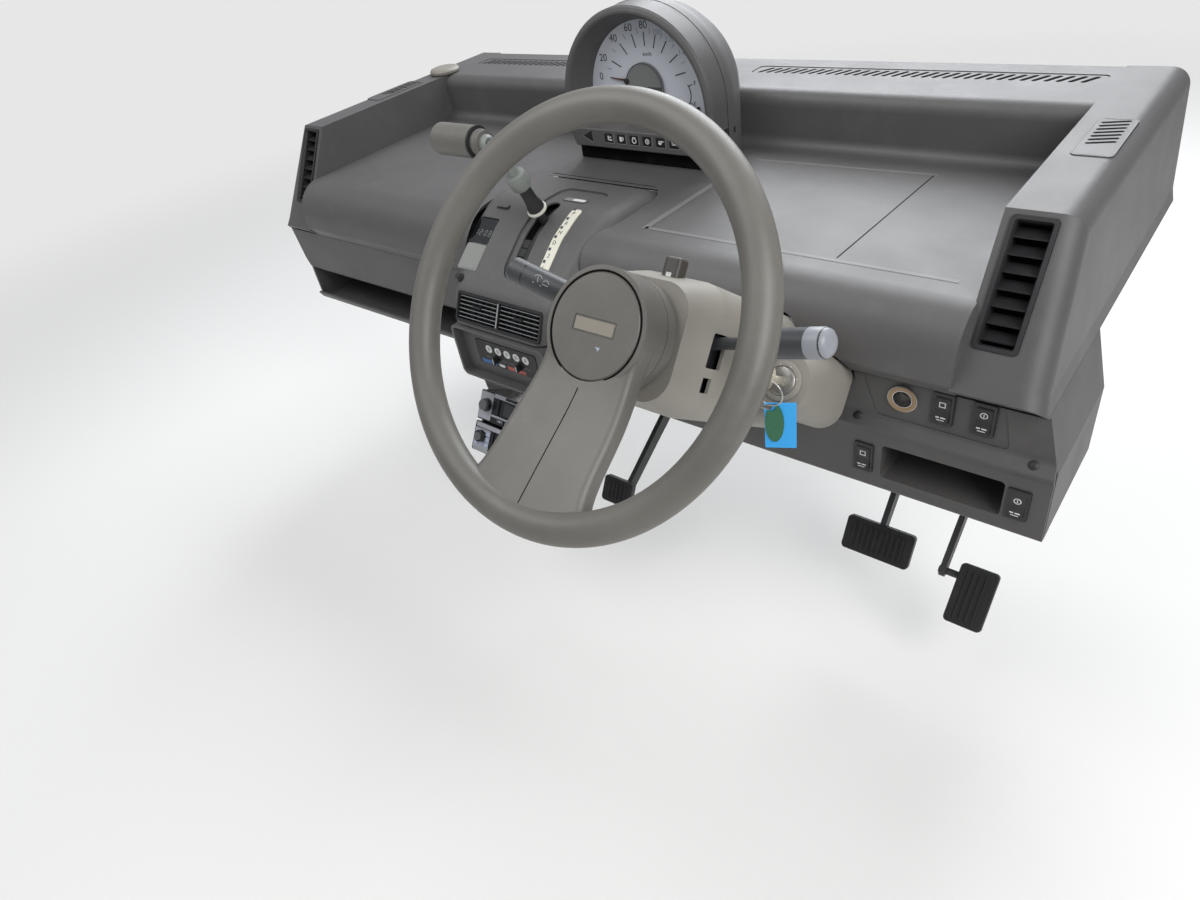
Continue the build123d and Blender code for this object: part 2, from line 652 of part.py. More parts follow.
# Radio and the unit under it
RADIO = Plane(
    origin=(CONSOLE_X, -233.5, -122),
    x_dir=(1, 0, 0),
    z_dir=(0, -cos(radians(UNIT_LEAN)), sin(radians(UNIT_LEAN))),
)
LOWER_UNIT = Plane(origin=RADIO.origin - RADIO.y_dir * UNIT_PITCH, x_dir=(1, 0, 0), z_dir=RADIO.z_dir)
for unit, name in ((RADIO, "radio"), (LOWER_UNIT, "radio_tuner")):
    with BuildPart() as box:
        with BuildSketch(unit):
            RectangleRounded(UNIT_WIDTH, UNIT_HEIGHT, 3)
        extrude(amount=-UNIT_DEPTH)
        with BuildSketch(unit):
            with Locations((6, 3)):
                RectangleRounded(104, 26, 2)
        extrude(amount=-2, mode=Mode.SUBTRACT)
        with BuildSketch(unit):
            with Locations((-UNIT_WIDTH / 2 + 18, 2)):
                Circle(10)
            with Locations((UNIT_WIDTH / 2 - 16, 2)):
                Circle(7)
        extrude(amount=9)
        knob_rims = box.edges().filter_by(GeomType.CIRCLE).group_by(Axis(unit.origin, unit.z_dir))[-1]
        fillet(knob_rims, radius=1.5)
        with BuildSketch(unit):
            with Locations((6, -17)):
                with GridLocations(17, 1, 6, 1):
                    RectangleRounded(14, 6, 1)
        extrude(amount=2)
    finish_piece(box, name)

# Cage that hangs both units under the housing
with BuildPart() as radio_cage:
    for side in (1, -1):
        x = CONSOLE_X + side * (CAGE_HALF + CAGE_WALL / 2)
        near = RADIO.origin - RADIO.z_dir * 14 + RADIO.y_dir * UNIT_HEIGHT / 2
        far = RADIO.origin - RADIO.z_dir * 118 + RADIO.y_dir * UNIT_HEIGHT / 2
        low = RADIO.y_dir * (UNIT_HEIGHT + UNIT_PITCH + FIT + CAGE_WALL)
        with BuildSketch(Plane.YZ.offset(x)):
            with BuildLine():
                Polyline(
                    (near.Y, near.Z),
                    (near.Y - low.Y, near.Z - low.Z),
                    (far.Y - low.Y, far.Z - low.Z),
                    (far.Y, far.Z),
                    (HOUSING_Y + HOUSING_DEPTH - 4, HOUSING_TOP_Z - HOUSING_HEIGHT + 30),
                    (HOUSING_Y + 22, HOUSING_TOP_Z - HOUSING_HEIGHT + 30),
                    close=True,
                )
            make_face()
        extrude(amount=CAGE_WALL / 2, both=True)
    with BuildSketch(LOWER_UNIT.offset(-30)):
        with Locations((0, -UNIT_HEIGHT / 2 - FIT - CAGE_WALL / 2)):
            Rectangle(2 * CAGE_HALF + 2 * CAGE_WALL, CAGE_WALL)
    extrude(amount=-70)
finish_piece(radio_cage, "radio_cage")

# Driver's lower panel with switches and coin pocket
with BuildPart() as driver_panel:
    with BuildSketch(Plane.YZ.offset(PANEL_START_X)):
        with BuildLine():
            FilletPolyline(
                (SEAM_Y, SEAM_Z - SEAM_GAP),
                (PANEL_Y, SEAM_Z - 4),
                (PANEL_Y, RIDGE_Z + 12),
                (RIDGE_Y, RIDGE_Z),
                (RIDGE_Y + 4, RIDGE_Z - 8),
                (RIDGE_Y + 4, PANEL_LOW_Z),
                (RIDGE_Y + 34, PANEL_LOW_Z - 2),
                radius=[3, 8, 3, 3, 8],
            )
            offset(amount=PANEL_WALL, side=Side.LEFT)
        make_face()
    extrude(amount=END_PROFILE[-1][1] + 5 - PANEL_START_X)
    with BuildSketch(Plane.XZ.offset(-SCREEN_Y)):
        with BuildLine():
            Polyline(*end_outline(0), close=True)
        make_face()
        with Locations((0, SEAM_Z - SEAM_GAP - 200)):
            Rectangle(2 * SHELF_HALF + 300, 400, mode=Mode.INTERSECT)
    extrude(amount=SCREEN_Y - 2 * ROLL_Y, mode=Mode.INTERSECT)
    # Return along the door
    with BuildSketch(Plane.XZ.offset(-RETURN_Y)):
        with BuildLine():
            Polyline(*side_return(PANEL_LOW_Z), close=True)
        make_face()
    extrude(amount=RETURN_Y - PANEL_Y)
    # Shallow field round the upper row
    with BuildSketch(Plane.XZ.offset(-PANEL_Y - FIELD_DEPTH)):
        with BuildLine():
            FilletPolyline(
                (SOCKET_X - 48, SEAM_Z - 5),
                (SOCKET_X - 29, 0),
                (UPPER_ROCKERS[1] + 30, 0),
                (UPPER_ROCKERS[1] + 19, SEAM_Z - 5),
                radius=6,
                close=True,
            )
        make_face()
    extrude(amount=10, mode=Mode.SUBTRACT)
    # Tub behind the pocket's mouth
    with BuildSketch(Plane.XZ.offset(-RIDGE_Y - 5)):
        with Locations((POCKET_X, LOWER_ROW_Z)):
            RectangleRounded(POCKET_WIDTH + 6, POCKET_HEIGHT + 6, 7)
    extrude(amount=-POCKET_DEPTH)
    with BuildSketch(Plane.XZ.offset(-RIDGE_Y - 2 - POCKET_DEPTH)):
        with Locations((POCKET_X, LOWER_ROW_Z)):
            RectangleRounded(POCKET_WIDTH, POCKET_HEIGHT, 5)
    extrude(amount=POCKET_DEPTH + 20, mode=Mode.SUBTRACT)
    # Mouths of the switches and the socket
    with BuildSketch(Plane.XZ.offset(-PANEL_Y - 30)):
        with Locations(*[(x, LOWER_ROW_Z) for x in LOWER_ROCKERS]):
            RectangleRounded(ROCKER_WIDTH, ROCKER_HEIGHT, 2)
        with Locations(*[(x, UPPER_ROW_Z) for x in UPPER_ROCKERS]):
            RectangleRounded(ROCKER_WIDTH, ROCKER_HEIGHT, 2)
        with Locations((SOCKET_X, UPPER_ROW_Z)):
            Circle(SOCKET_BORE + 3.5)
    extrude(amount=60, mode=Mode.SUBTRACT)
    add(shroud_notch(), mode=Mode.SUBTRACT)
finish_piece(driver_panel, "driver_panel")

# Rocker switches, each seated in its mouth
with BuildPart() as rocker_switches:
    rows = [(x, LOWER_ROW_Z, RIDGE_Y + 4) for x in LOWER_ROCKERS]
    rows += [(x, UPPER_ROW_Z, PANEL_Y) for x in UPPER_ROCKERS]
    for x, z, y in rows:
        with BuildSketch(Plane.XZ.offset(-y - 26)):
            with Locations((x, z)):
                RectangleRounded(ROCKER_WIDTH - 2 * FIT, ROCKER_HEIGHT - 2 * FIT, 2 - FIT)
        extrude(amount=28)
        with BuildSketch(Plane.YZ.offset(x - 8)):
            with BuildLine():
                Polyline(
                    (y - 2, z - 17),
                    (y - 6, z - 15),
                    (y - 3, z),
                    (y - 4, z + 15),
                    (y - 2, z + 17),
                    close=True,
                )
            make_face()
        extrude(amount=16)
finish_piece(rocker_switches, "rocker_switches")

# Power socket
with BuildPart() as power_socket:
    with BuildSketch(Plane.XZ.offset(-PANEL_Y - FIELD_DEPTH)):
        with Locations((SOCKET_X, UPPER_ROW_Z)):
            Circle(SOCKET_BORE + 6)
    extrude(amount=3 + FIELD_DEPTH)
    with BuildSketch(Plane.XZ.offset(-PANEL_Y)):
        with Locations((SOCKET_X, UPPER_ROW_Z)):
            Circle(SOCKET_BORE + 3.5 - FIT)
    extrude(amount=-SOCKET_LENGTH)
    with BuildSketch(Plane.XZ.offset(-PANEL_Y + 3)):
        with Locations((SOCKET_X, UPPER_ROW_Z)):
            Circle(SOCKET_BORE)
    extrude(amount=-SOCKET_LENGTH, mode=Mode.SUBTRACT)
finish_piece(power_socket, "power_socket")

# Passenger's lower panel with an open tray
with BuildPart() as passenger_panel:
    tray_section = [
        (SEAM_Y, SEAM_Z - SEAM_GAP),
        (-128, -34),
        (-116, TRAY_TOP_Z),
        (TRAY_DEPTH_Y, TRAY_TOP_Z),
        (TRAY_DEPTH_Y, PANEL_LOW_Z + 4),
        (-124, PANEL_LOW_Z + 4),
        (-130, PANEL_LOW_Z + 16),
    ]
    with BuildSketch(Plane.YZ.offset(TRAY_START_X)):
        with BuildLine():
            FilletPolyline(*tray_section, radius=[6, 6, 8, 8, 3])
            offset(amount=PANEL_WALL, side=Side.LEFT)
        make_face()
    extrude(amount=-END_PROFILE[-1][1] - 5 - TRAY_START_X)
    with BuildSketch(Plane.YZ.offset(TRAY_START_X)):
        with BuildLine():
            Polyline((-126, -40), (TRAY_DEPTH_Y + 2, TRAY_TOP_Z + 2), (TRAY_DEPTH_Y + 2, PANEL_LOW_Z + 2),
                     (-126, PANEL_LOW_Z + 6), close=True)
        make_face()
    extrude(amount=-PANEL_WALL)
    with BuildSketch(Plane.XZ.offset(-SCREEN_Y)):
        with BuildLine():
            Polyline(*end_outline(0), close=True)
        make_face()
        with Locations((0, SEAM_Z - SEAM_GAP - 200)):
            Rectangle(2 * SHELF_HALF + 300, 400, mode=Mode.INTERSECT)
    extrude(amount=SCREEN_Y - 2 * ROLL_Y, mode=Mode.INTERSECT)
    with BuildSketch(Plane.XZ.offset(-RETURN_Y)):
        with BuildLine():
            Polyline(*[(-half, z) for half, z in side_return(PANEL_LOW_Z + 4)], close=True)
        make_face()
    extrude(amount=RETURN_Y - PANEL_Y - 10)
finish_piece(passenger_panel, "passenger_panel")

# Hood of the meter pod: a dome whose sides run straight down, with a foot below the telltales
METER_AXIS = Axis((0, 0, METER_Z), (0, -1, 0))
METER_PLANE = Plane(origin=(0, 0, METER_Z), x_dir=(1, 0, 0), z_dir=(0, 0, 1))
with BuildPart() as meter_hood:
    with BuildSketch(METER_PLANE) as hood_section:
        with BuildLine():
            FilletPolyline(
                (METER_RADIUS, METER_SEAM_Y),
                (METER_RADIUS, 168),
                (125, 202),
                (108, 232),
                (84, 262),
                (48, 280),
                (0, 280),
                radius=[40, 40, 40, 30, 30],
            )
            offset(amount=METER_WALL, side=Side.LEFT)
        make_face()
    revolve(axis=METER_AXIS, revolution_arc=180)
    extrude(hood_section.sketch, amount=SHELF_Z - METER_Z)
    extrude(mirror(hood_section.sketch, about=Plane.YZ), amount=SHELF_Z - METER_Z)
    with BuildSketch(Plane.XY.offset(SHELF_Z)):
        with Locations((0, (METER_SEAM_Y + 7 + METER_FOOT_Y) / 2)):
            Rectangle(2 * METER_FOOT_HALF, METER_SEAM_Y + 7 - METER_FOOT_Y)
    extrude(amount=STRIP_LOW_Z - SHELF_Z)
    with BuildSketch(Plane.XY.offset(SHELF_Z)):
        with Locations((0, (METER_SEAM_Y + METER_FOOT_Y) / 2 + METER_WALL)):
            Rectangle(2 * METER_FOOT_HALF - 2 * METER_WALL, METER_SEAM_Y - METER_FOOT_Y)
    extrude(amount=STRIP_LOW_Z - SHELF_Z - METER_WALL, mode=Mode.SUBTRACT)
    with BuildSketch(Plane.XZ.offset(-METER_SEAM_Y - 3.5)):
        with Locations((0, (SHELF_Z + STRIP_HIGH_Z) / 2)):
            Rectangle(2 * METER_RADIUS - 6, STRIP_HIGH_Z - SHELF_Z)
    extrude(amount=-3.5)
    # Seat on the shelf and the ledge
    with BuildSketch(Plane.YZ):
        with BuildLine():
            FilletPolyline(
                (SCREEN_Y, LEDGE_Z),
                (STEP_Y, LEDGE_Z),
                (STEP_Y, SHELF_Z),
                (0, SHELF_Z),
                (0, 0),
                (SCREEN_Y, 0),
                radius=[LEDGE_RADIUS, STEP_RADIUS, 1, 1],
            )
            Line((SCREEN_Y, 0), (SCREEN_Y, LEDGE_Z))
        make_face()
    extrude(amount=300, both=True, mode=Mode.SUBTRACT)
finish_piece(meter_hood, "meter_hood")

# Ring round the dial, its sides straight below the middle and cut off above the telltales
with BuildPart() as meter_ring:
    with BuildSketch(METER_PLANE) as ring_section:
        with BuildLine():
            Polyline(
                (METER_RADIUS, METER_SEAM_Y - FIT),
                (METER_RADIUS, METER_Y + 6),
                (METER_RADIUS - 2, METER_Y + 2),
                (METER_RADIUS - 6, METER_Y),
                (METER_LIP_RADIUS + 3, METER_Y),
                (METER_LIP_RADIUS, METER_Y + 2),
                (DIAL_RADIUS + 6, METER_Y + 22),
                (DIAL_RADIUS + 1, DIAL_Y - FIT),
                (DIAL_RADIUS + 4, DIAL_Y - FIT),
                (DIAL_RADIUS + 9, METER_Y + 22),
                (METER_LIP_RADIUS + 3, METER_Y + 5),
                (METER_RADIUS - 6, METER_Y + 4),
                (METER_RADIUS - METER_WALL, METER_Y + 8),
                (METER_RADIUS - METER_WALL, METER_SEAM_Y - FIT),
                close=True,
            )
        make_face()
    revolve(axis=METER_AXIS, revolution_arc=180)
    extrude(ring_section.sketch, amount=STRIP_HIGH_Z + FIT - METER_Z)
    extrude(mirror(ring_section.sketch, about=Plane.YZ), amount=STRIP_HIGH_Z + FIT - METER_Z)
finish_piece(meter_ring, "meter_ring")

# Dial and the grey boss on it with the distance counter
with BuildPart() as dial:
    with BuildSketch(Plane.XZ.offset(-DIAL_Y)):
        with Locations((0, METER_Z)):
            Circle(DIAL_RADIUS + 5)
        with Locations((0, METER_Z - 50)):
            Rectangle(2 * DIAL_RADIUS + 10, 100)
        with Locations((0, STRIP_HIGH_Z - 100 + FIT)):
            Rectangle(400, 200, mode=Mode.SUBTRACT)
    extrude(amount=-3)
finish_piece(dial, "dial")

with BuildPart() as dial_boss:
    with BuildSketch(Plane.XZ.offset(-DIAL_Y)):
        with Locations((-5, NEEDLE_Z - 7)):
            Circle(34)
        with Locations((-5, NEEDLE_Z - 27)):
            Rectangle(68, 40)
    extrude(amount=5)
finish_piece(dial_boss, "dial_boss")

with BuildPart() as needle:
    with BuildSketch(Plane.XZ.offset(-DIAL_Y + 2)):
        with BuildLine():
            Polyline(
                (-39, NEEDLE_Z),
                (-39, NEEDLE_Z + 3),
                (-66, NEEDLE_Z + 4),
                (-66, NEEDLE_Z + 3),
                close=True,
            )
        make_face()
    extrude(amount=1.4)
finish_piece(needle, "needle")

# Telltale strip under the ring
with BuildPart() as telltale_strip:
    with BuildSketch(Plane.XZ.offset(-METER_Y + 5)):
        with BuildLine():
            FilletPolyline(
                (-STRIP_HALF, STRIP_HIGH_Z),
                (STRIP_HALF, STRIP_HIGH_Z),
                (STRIP_HALF - 9, STRIP_LOW_Z),
                (9 - STRIP_HALF, STRIP_LOW_Z),
                radius=3,
                close=True,
            )
        make_face()
    extrude(amount=METER_Y - 5 - METER_SEAM_Y + FIT)
    front = telltale_strip.faces().sort_by(Axis.Y)[0]
    fillet(front.edges().filter_by(Axis.X), radius=2.5)
finish_piece(telltale_strip, "telltale_strip")

# Steering wheel: rim, the one broad spoke and the head that holds the pad
with BuildPart(WHEEL) as wheel_rim:
    Torus(RIM_RADIUS, RIM_TUBE)
    # Height in the wheel, half width, face and back of the spoke behind the rim's middle
    spoke_sections = [
        (-8, 55, 39, 66),
        (-70, 56, 31, 54),
        (-125, 60, 9, 32),
        (-150, 65, -1, 21),
        (-168, 77, -8, 12),
    ]
    for height, half, face, back in spoke_sections:
        with BuildSketch(across_spoke(height)):
            with Locations((0, (face + back) / 2)):
                RectangleRounded(2 * half, back - face, 8)
    loft()
    with BuildSketch(on_column(PAD_DEPTH + 1)):
        Circle(HEAD_RADIUS)
    extrude(amount=-(HEAD_BACK - PAD_DEPTH - 1))
    with BuildSketch(on_column(PAD_DEPTH - 20)):
        Circle(PAD_RADIUS + FIT)
    extrude(amount=-32, mode=Mode.SUBTRACT)
    with BuildSketch(on_column(PAD_DEPTH)):
        Circle(SHAFT_RADIUS)
    extrude(amount=-(HEAD_BACK - PAD_DEPTH), mode=Mode.SUBTRACT)
finish_piece(wheel_rim, "wheel_rim")

with BuildPart() as horn_pad:
    with BuildSketch(on_column(PAD_DEPTH)):
        Circle(PAD_RADIUS)
    extrude(amount=-12)
    chamfer(horn_pad.edges().group_by(Axis(WHEEL.origin, WHEEL.z_dir))[-1], length=1.5)
    with BuildSketch(on_column(PAD_DEPTH)):
        RectangleRounded(48, 15, 1.5)
    extrude(amount=-1, mode=Mode.SUBTRACT)
finish_piece(horn_pad, "horn_pad")

with BuildPart() as wheel_hub:
    with BuildSketch(on_column(HEAD_BACK)):
        Circle(HEAD_RADIUS - 1)
    extrude(amount=-(HUB_BACK - HEAD_BACK))
    with BuildSketch(on_column(HEAD_BACK)):
        Circle(SHAFT_RADIUS)
    extrude(amount=-(HUB_BACK - HEAD_BACK), mode=Mode.SUBTRACT)
finish_piece(wheel_hub, "wheel_hub")

with BuildPart() as steering_shaft:
    with BuildSketch(on_column(PAD_DEPTH + 12.5)):
        Circle(SHAFT_RADIUS)
    extrude(amount=-(SHAFT_END - PAD_DEPTH - 12.5))
    # Yoke for the intermediate shaft
    with BuildSketch(on_column(SHAFT_END - 8)):
        Rectangle(44, 26)
    extrude(amount=-8)
    for side in (1, -1):
        with BuildSketch(on_column(SHAFT_END)):
            with Locations((side * 18, 0)):
                Rectangle(8, 26)
        extrude(amount=-34)
    yoke_plane = Plane(origin=column_point(0, 0, SHAFT_END + 22), x_dir=WHEEL.z_dir, z_dir=(1, 0, 0))
    with BuildSketch(yoke_plane):
        Circle(7.5)
    extrude(amount=40, both=True, mode=Mode.SUBTRACT)
finish_piece(steering_shaft, "steering_shaft")

# Column tube with a bearing at each end
with BuildPart() as column_tube:
    with BuildSketch(on_column(TUBE_START)):
        Circle(TUBE_RADIUS)
        Circle(SHAFT_RADIUS + SHAFT_PLAY, mode=Mode.SUBTRACT)
    extrude(amount=-(TUBE_END - TUBE_START))
    with BuildSketch(on_column(TUBE_START + BEARING_LENGTH)):
        Circle(TUBE_RADIUS - 3)
    extrude(amount=-(TUBE_END - TUBE_START - 2 * BEARING_LENGTH), mode=Mode.SUBTRACT)
finish_piece(column_tube, "column_tube")

# Shroud in two halves; the right side carries the wing that holds the ignition lock
for name, keep in (("shroud_upper", Keep.TOP), ("shroud_lower", Keep.BOTTOM)):
    with BuildPart() as half:
        add(shroud_body(0, SHROUD_END))
        add(shroud_body(SHROUD_WALL, SHROUD_END + 1), mode=Mode.SUBTRACT)
        with BuildSketch(on_column(SHROUD_START - 10)):
            Circle(30)
        extrude(amount=-30, mode=Mode.SUBTRACT)
        with BuildSketch(on_column(LOCK_START - 10)):
            with Locations((LOCK_X, LOCK_UP)):
                Circle(LOCK_RADIUS + FIT)
        extrude(amount=-30, mode=Mode.SUBTRACT)
        for side in (1, -1):
            middle = column_point(side * 62, 6, STALK_DISTANCE)
            slot = Plane(origin=middle, x_dir=WHEEL.z_dir, z_dir=(1, 0, 0))
            with BuildSketch(slot):
                RectangleRounded(26, 34, 2)
            extrude(amount=24, both=True, mode=Mode.SUBTRACT)
            # Small port below the slot
            if side == 1:
                with BuildSketch(slot):
                    with Locations((4, 34)):
                        RectangleRounded(15, 15, 1)
                extrude(amount=24, both=True, mode=Mode.SUBTRACT)
        split(bisect_by=Plane(origin=WHEEL.origin, x_dir=(1, 0, 0), z_dir=WHEEL.y_dir), keep=keep)
    finish_piece(half, name)

# Ignition lock, clamped to the column tube inside the shroud
with BuildPart() as ignition_lock:
    with BuildSketch(on_column(LOCK_START - 3)):
        with Locations((LOCK_X, LOCK_UP)):
            Circle(LOCK_RADIUS)
    extrude(amount=-66)
    with BuildSketch(on_column(LOCK_START + 24)):
        with Locations((LOCK_X / 2, 0)):
            Rectangle(LOCK_X, 24)
    extrude(amount=-34)
    with BuildSketch(on_column(LOCK_START)):
        Circle(TUBE_RADIUS + 0.1)
    extrude(amount=-80, mode=Mode.SUBTRACT)
    with BuildSketch(on_column(LOCK_START - 3)):
        with Locations((LOCK_X, LOCK_UP)):
            Rectangle(3, 10)
    extrude(amount=-8, mode=Mode.SUBTRACT)
finish_piece(ignition_lock, "ignition_lock")

# Key in the lock, its ring, and two plain tags that hang from the ring
KEY_HEAD = column_point(LOCK_X, LOCK_UP, LOCK_START - 34)
with BuildPart() as key:
    with BuildSketch(Plane(origin=KEY_HEAD, x_dir=WHEEL.y_dir, z_dir=(1, 0, 0))):
        Circle(12)
        with Locations((0, -21)):
            Rectangle(8, 30)
        Circle(KEY_HOLE_RADIUS, mode=Mode.SUBTRACT)
    extrude(amount=1.2, both=True)
finish_piece(key, "key")

RING_MIDDLE = KEY_HEAD - Vector(0, 0, KEY_HOLE_RADIUS + KEY_RING_RADIUS - KEY_RING_WIRE - 0.2)
with BuildPart() as key_ring:
    with BuildSketch(Plane(origin=RING_MIDDLE, x_dir=(1, 0, 0), z_dir=(0, 0, 1))):
        with Locations((KEY_RING_RADIUS, 0)):
            Circle(KEY_RING_WIRE)
    revolve(axis=Axis(RING_MIDDLE, (0, 1, 0)))
finish_piece(key_ring, "key_ring")
# Name, place along the ring's foot, thickness, middle of the tag below its hole, width, height
KEY_TAGS = [("key_tag", 2, 1, (3, -20), 19, 48), ("key_label", -1.5, 0.8, (12, -24), 32, 58)]
for name, along, thickness, middle, width, height in KEY_TAGS:
    foot = RING_MIDDLE + Vector(along, 0, -KEY_RING_RADIUS - TAG_HOLE_RADIUS + KEY_RING_WIRE + 0.5)
    with BuildPart() as tag:
        with BuildSketch(Plane(origin=foot, x_dir=(0.9, 0.44, 0), z_dir=(0.44, -0.9, 0))):
            with Locations(middle):
                if name == "key_tag":
                    Ellipse(width / 2, height / 2)
                else:
                    RectangleRounded(width, height, 1)
            Circle(TAG_HOLE_RADIUS, mode=Mode.SUBTRACT)
        extrude(amount=thickness / 2, both=True)
    finish_piece(tag, name)

# Stalks, seated on the column tube, and the switch housing round their roots
STALKS = {}
for name, side, reach in (("indicator_stalk", 1, 181), ("wiper_stalk", -1, 202)):
    root = column_point(side * (TUBE_RADIUS - 1), 6, STALK_DISTANCE + 10)
    tip = column_point(side * reach, 38, STALK_DISTANCE - 30)
    run = tip - root
    stalk_plane = Plane(origin=root, x_dir=WHEEL.y_dir, z_dir=run.normalized())
    STALKS[name] = stalk_plane
    with BuildPart() as stalk:
        with BuildSketch(stalk_plane):
            Circle(STALK_ROOT_RADIUS)
        extrude(amount=run.length * 0.6)
        with BuildSketch(stalk_plane.offset(run.length * 0.46)):
            Circle(STALK_RADIUS)
        with BuildSketch(stalk_plane.offset(run.length * 0.56)):
            Circle(STALK_TIP_RADIUS)
        loft()
        with BuildSketch(stalk_plane.offset(run.length * 0.56)):
            Circle(STALK_TIP_RADIUS)
        extrude(amount=run.length * 0.44)
        fillet(stalk.edges().sort_by(Axis(root, run.normalized()))[-1], radius=8)
        with BuildSketch(on_column(TUBE_START)):
            Circle(TUBE_RADIUS + 0.1)
        extrude(amount=-150, mode=Mode.SUBTRACT)
    finish_piece(stalk, name)

with BuildPart() as stalk_housing:
    with BuildSketch(on_column(STALK_DISTANCE - 12)):
        with Locations((0, -4)):
            RectangleRounded(104, 76, 8)
        Circle(TUBE_RADIUS, mode=Mode.SUBTRACT)
    extrude(amount=-40)
    for stalk_plane in STALKS.values():
        with BuildSketch(stalk_plane):
            Circle(STALK_ROOT_RADIUS)
        extrude(amount=80, mode=Mode.SUBTRACT)
finish_piece(stalk_housing, "stalk_housing")

# Hazard switch on top of the shroud
with BuildPart() as hazard_switch:
    hazard_plane = Plane(origin=column_point(0, 60, 141), x_dir=(1, 0, 0), z_dir=WHEEL.y_dir)
    with BuildSketch(hazard_plane):
        RectangleRounded(20, 18, 5)
    extrude(amount=24)
    fillet(hazard_switch.edges().group_by(Axis(WHEEL.origin, WHEEL.y_dir))[-1], radius=3)
    add(shroud_body(-FIT, SHROUD_END), mode=Mode.SUBTRACT)
finish_piece(hazard_switch, "hazard_switch")

# Cross beam with its end plates
with BuildPart() as cross_beam:
    with BuildSketch(Plane.YZ.offset(-BEAM_HALF)):
        with Locations((BEAM_Y, 0)):
            Circle(BEAM_RADIUS)
            Circle(BEAM_RADIUS - BEAM_WALL, mode=Mode.SUBTRACT)
    extrude(amount=2 * BEAM_HALF)
    with BuildPart(mode=Mode.PRIVATE) as plates:
        with BuildSketch(Plane.XZ.offset(-END_PLATE / 2)):
            with GridLocations(BOLT_SPACING_X, 1, 2, 1):
                RectangleRounded(END_PLATE_WIDTH, END_PLATE_HEIGHT, 10)
            with GridLocations(BOLT_SPACING_X, BOLT_SPACING_Z, 2, 2):
                Circle(BOLT_HOLE_RADIUS, mode=Mode.SUBTRACT)
        extrude(amount=END_PLATE)
        with BuildSketch(Plane.YZ.offset(-BEAM_HALF)):
            with Locations((BEAM_Y, 0)):
                Circle(BEAM_RADIUS - 1)
        extrude(amount=2 * BEAM_HALF, mode=Mode.SUBTRACT)
    add(plates.part)
finish_piece(cross_beam, "cross_beam")

# Braces from the beam to the shelf's underside
with BuildPart() as dash_braces:
    with BuildSketch(Plane.XZ.offset(-BEAM_Y + 2)):
        with Locations(*[(x, (SHELF_Z - WALL) / 2) for x in BRACES]):
            Rectangle(30, SHELF_Z - WALL)
    extrude(amount=-4)
    with BuildSketch(Plane.XY.offset(SHELF_Z - WALL - 4)):
        with Locations(*[(x, BEAM_Y + 18) for x in BRACES]):
            Rectangle(30, 40)
    extrude(amount=4)
    with BuildSketch(Plane.XY.offset(BEAM_RADIUS - 8)):
        with Locations(*[(x, BEAM_Y) for x in BRACES]):
            Rectangle(30, 34)
    extrude(amount=12)
    with BuildSketch(Plane.YZ.offset(-BEAM_HALF)):
        with Locations((BEAM_Y, 0)):
            Circle(BEAM_RADIUS)
    extrude(amount=2 * BEAM_HALF, mode=Mode.SUBTRACT)
finish_piece(dash_braces, "dash_braces")

# Bracket between the column tube and the beam
BEAM_OVER_COLUMN = (BEAM_Y - WHEEL_Y) * WHEEL.y_dir.Y + (0 - WHEEL_Z) * WHEEL.y_dir.Z
BEAM_ALONG_COLUMN = -(BEAM_Y - WHEEL_Y) * WHEEL.z_dir.Y - (0 - WHEEL_Z) * WHEEL.z_dir.Z
with BuildPart() as column_bracket:
    with BuildSketch(on_column(BEAM_ALONG_COLUMN - 34)):
        with Locations((0, TUBE_RADIUS / 2 + 4)):
            Rectangle(64, TUBE_RADIUS + 8)
    extrude(amount=-68)
    side_plane = Plane(origin=column_point(0, 0, BEAM_ALONG_COLUMN), x_dir=-WHEEL.z_dir, z_dir=(1, 0, 0))
    for x in (-32, 28):
        with BuildSketch(side_plane.offset(x)):
            with BuildLine():
                Polyline((-34, 2), (34, 2), (34, TUBE_RADIUS + 8), (26, BEAM_OVER_COLUMN + 10),
                         (-26, BEAM_OVER_COLUMN + 10), (-34, TUBE_RADIUS + 8), close=True)
            make_face()
        extrude(amount=CHEEK)
    with BuildSketch(on_column(TUBE_START)):
        Circle(TUBE_RADIUS)
    extrude(amount=-600, mode=Mode.SUBTRACT)
    with BuildSketch(Plane.YZ.offset(-BEAM_HALF)):
        with Locations((BEAM_Y, 0)):
            Circle(BEAM_RADIUS)
    extrude(amount=2 * BEAM_HALF, mode=Mode.SUBTRACT)
finish_piece(column_bracket, "column_bracket")


def side_view(x):
    """Plane square to X at x, its axes along Y and Z."""
    return Plane.YZ.offset(x)


def cheek(x, pivot, thickness):
    """Plate that hangs from the beam and carries a pivot pin."""
    with BuildPart() as plate:
        with BuildSketch(side_view(x - thickness / 2)):
            with BuildLine():
                CenterArc((BEAM_Y, 0), BEAM_RADIUS + 9, 0, 360)
                CenterArc(pivot, 14, 0, 360)
            make_hull()
        extrude(amount=thickness)
    return plate.part


def pivot_pin(x_from, x_to, pivot):
    """Pin along X."""
    with BuildPart() as pin:
        with BuildSketch(side_view(x_from)):
            with Locations(pivot):
                Circle(PIN_RADIUS)
        extrude(amount=x_to - x_from)
    return pin.part


def beam_core():
    """Beam as a plain bar, to cut the seats of what hangs on it."""
    with BuildPart() as core:
        with BuildSketch(side_view(-BEAM_HALF)):
            with Locations((BEAM_Y, 0)):
                Circle(BEAM_RADIUS)
        extrude(amount=2 * BEAM_HALF)
    return core.part


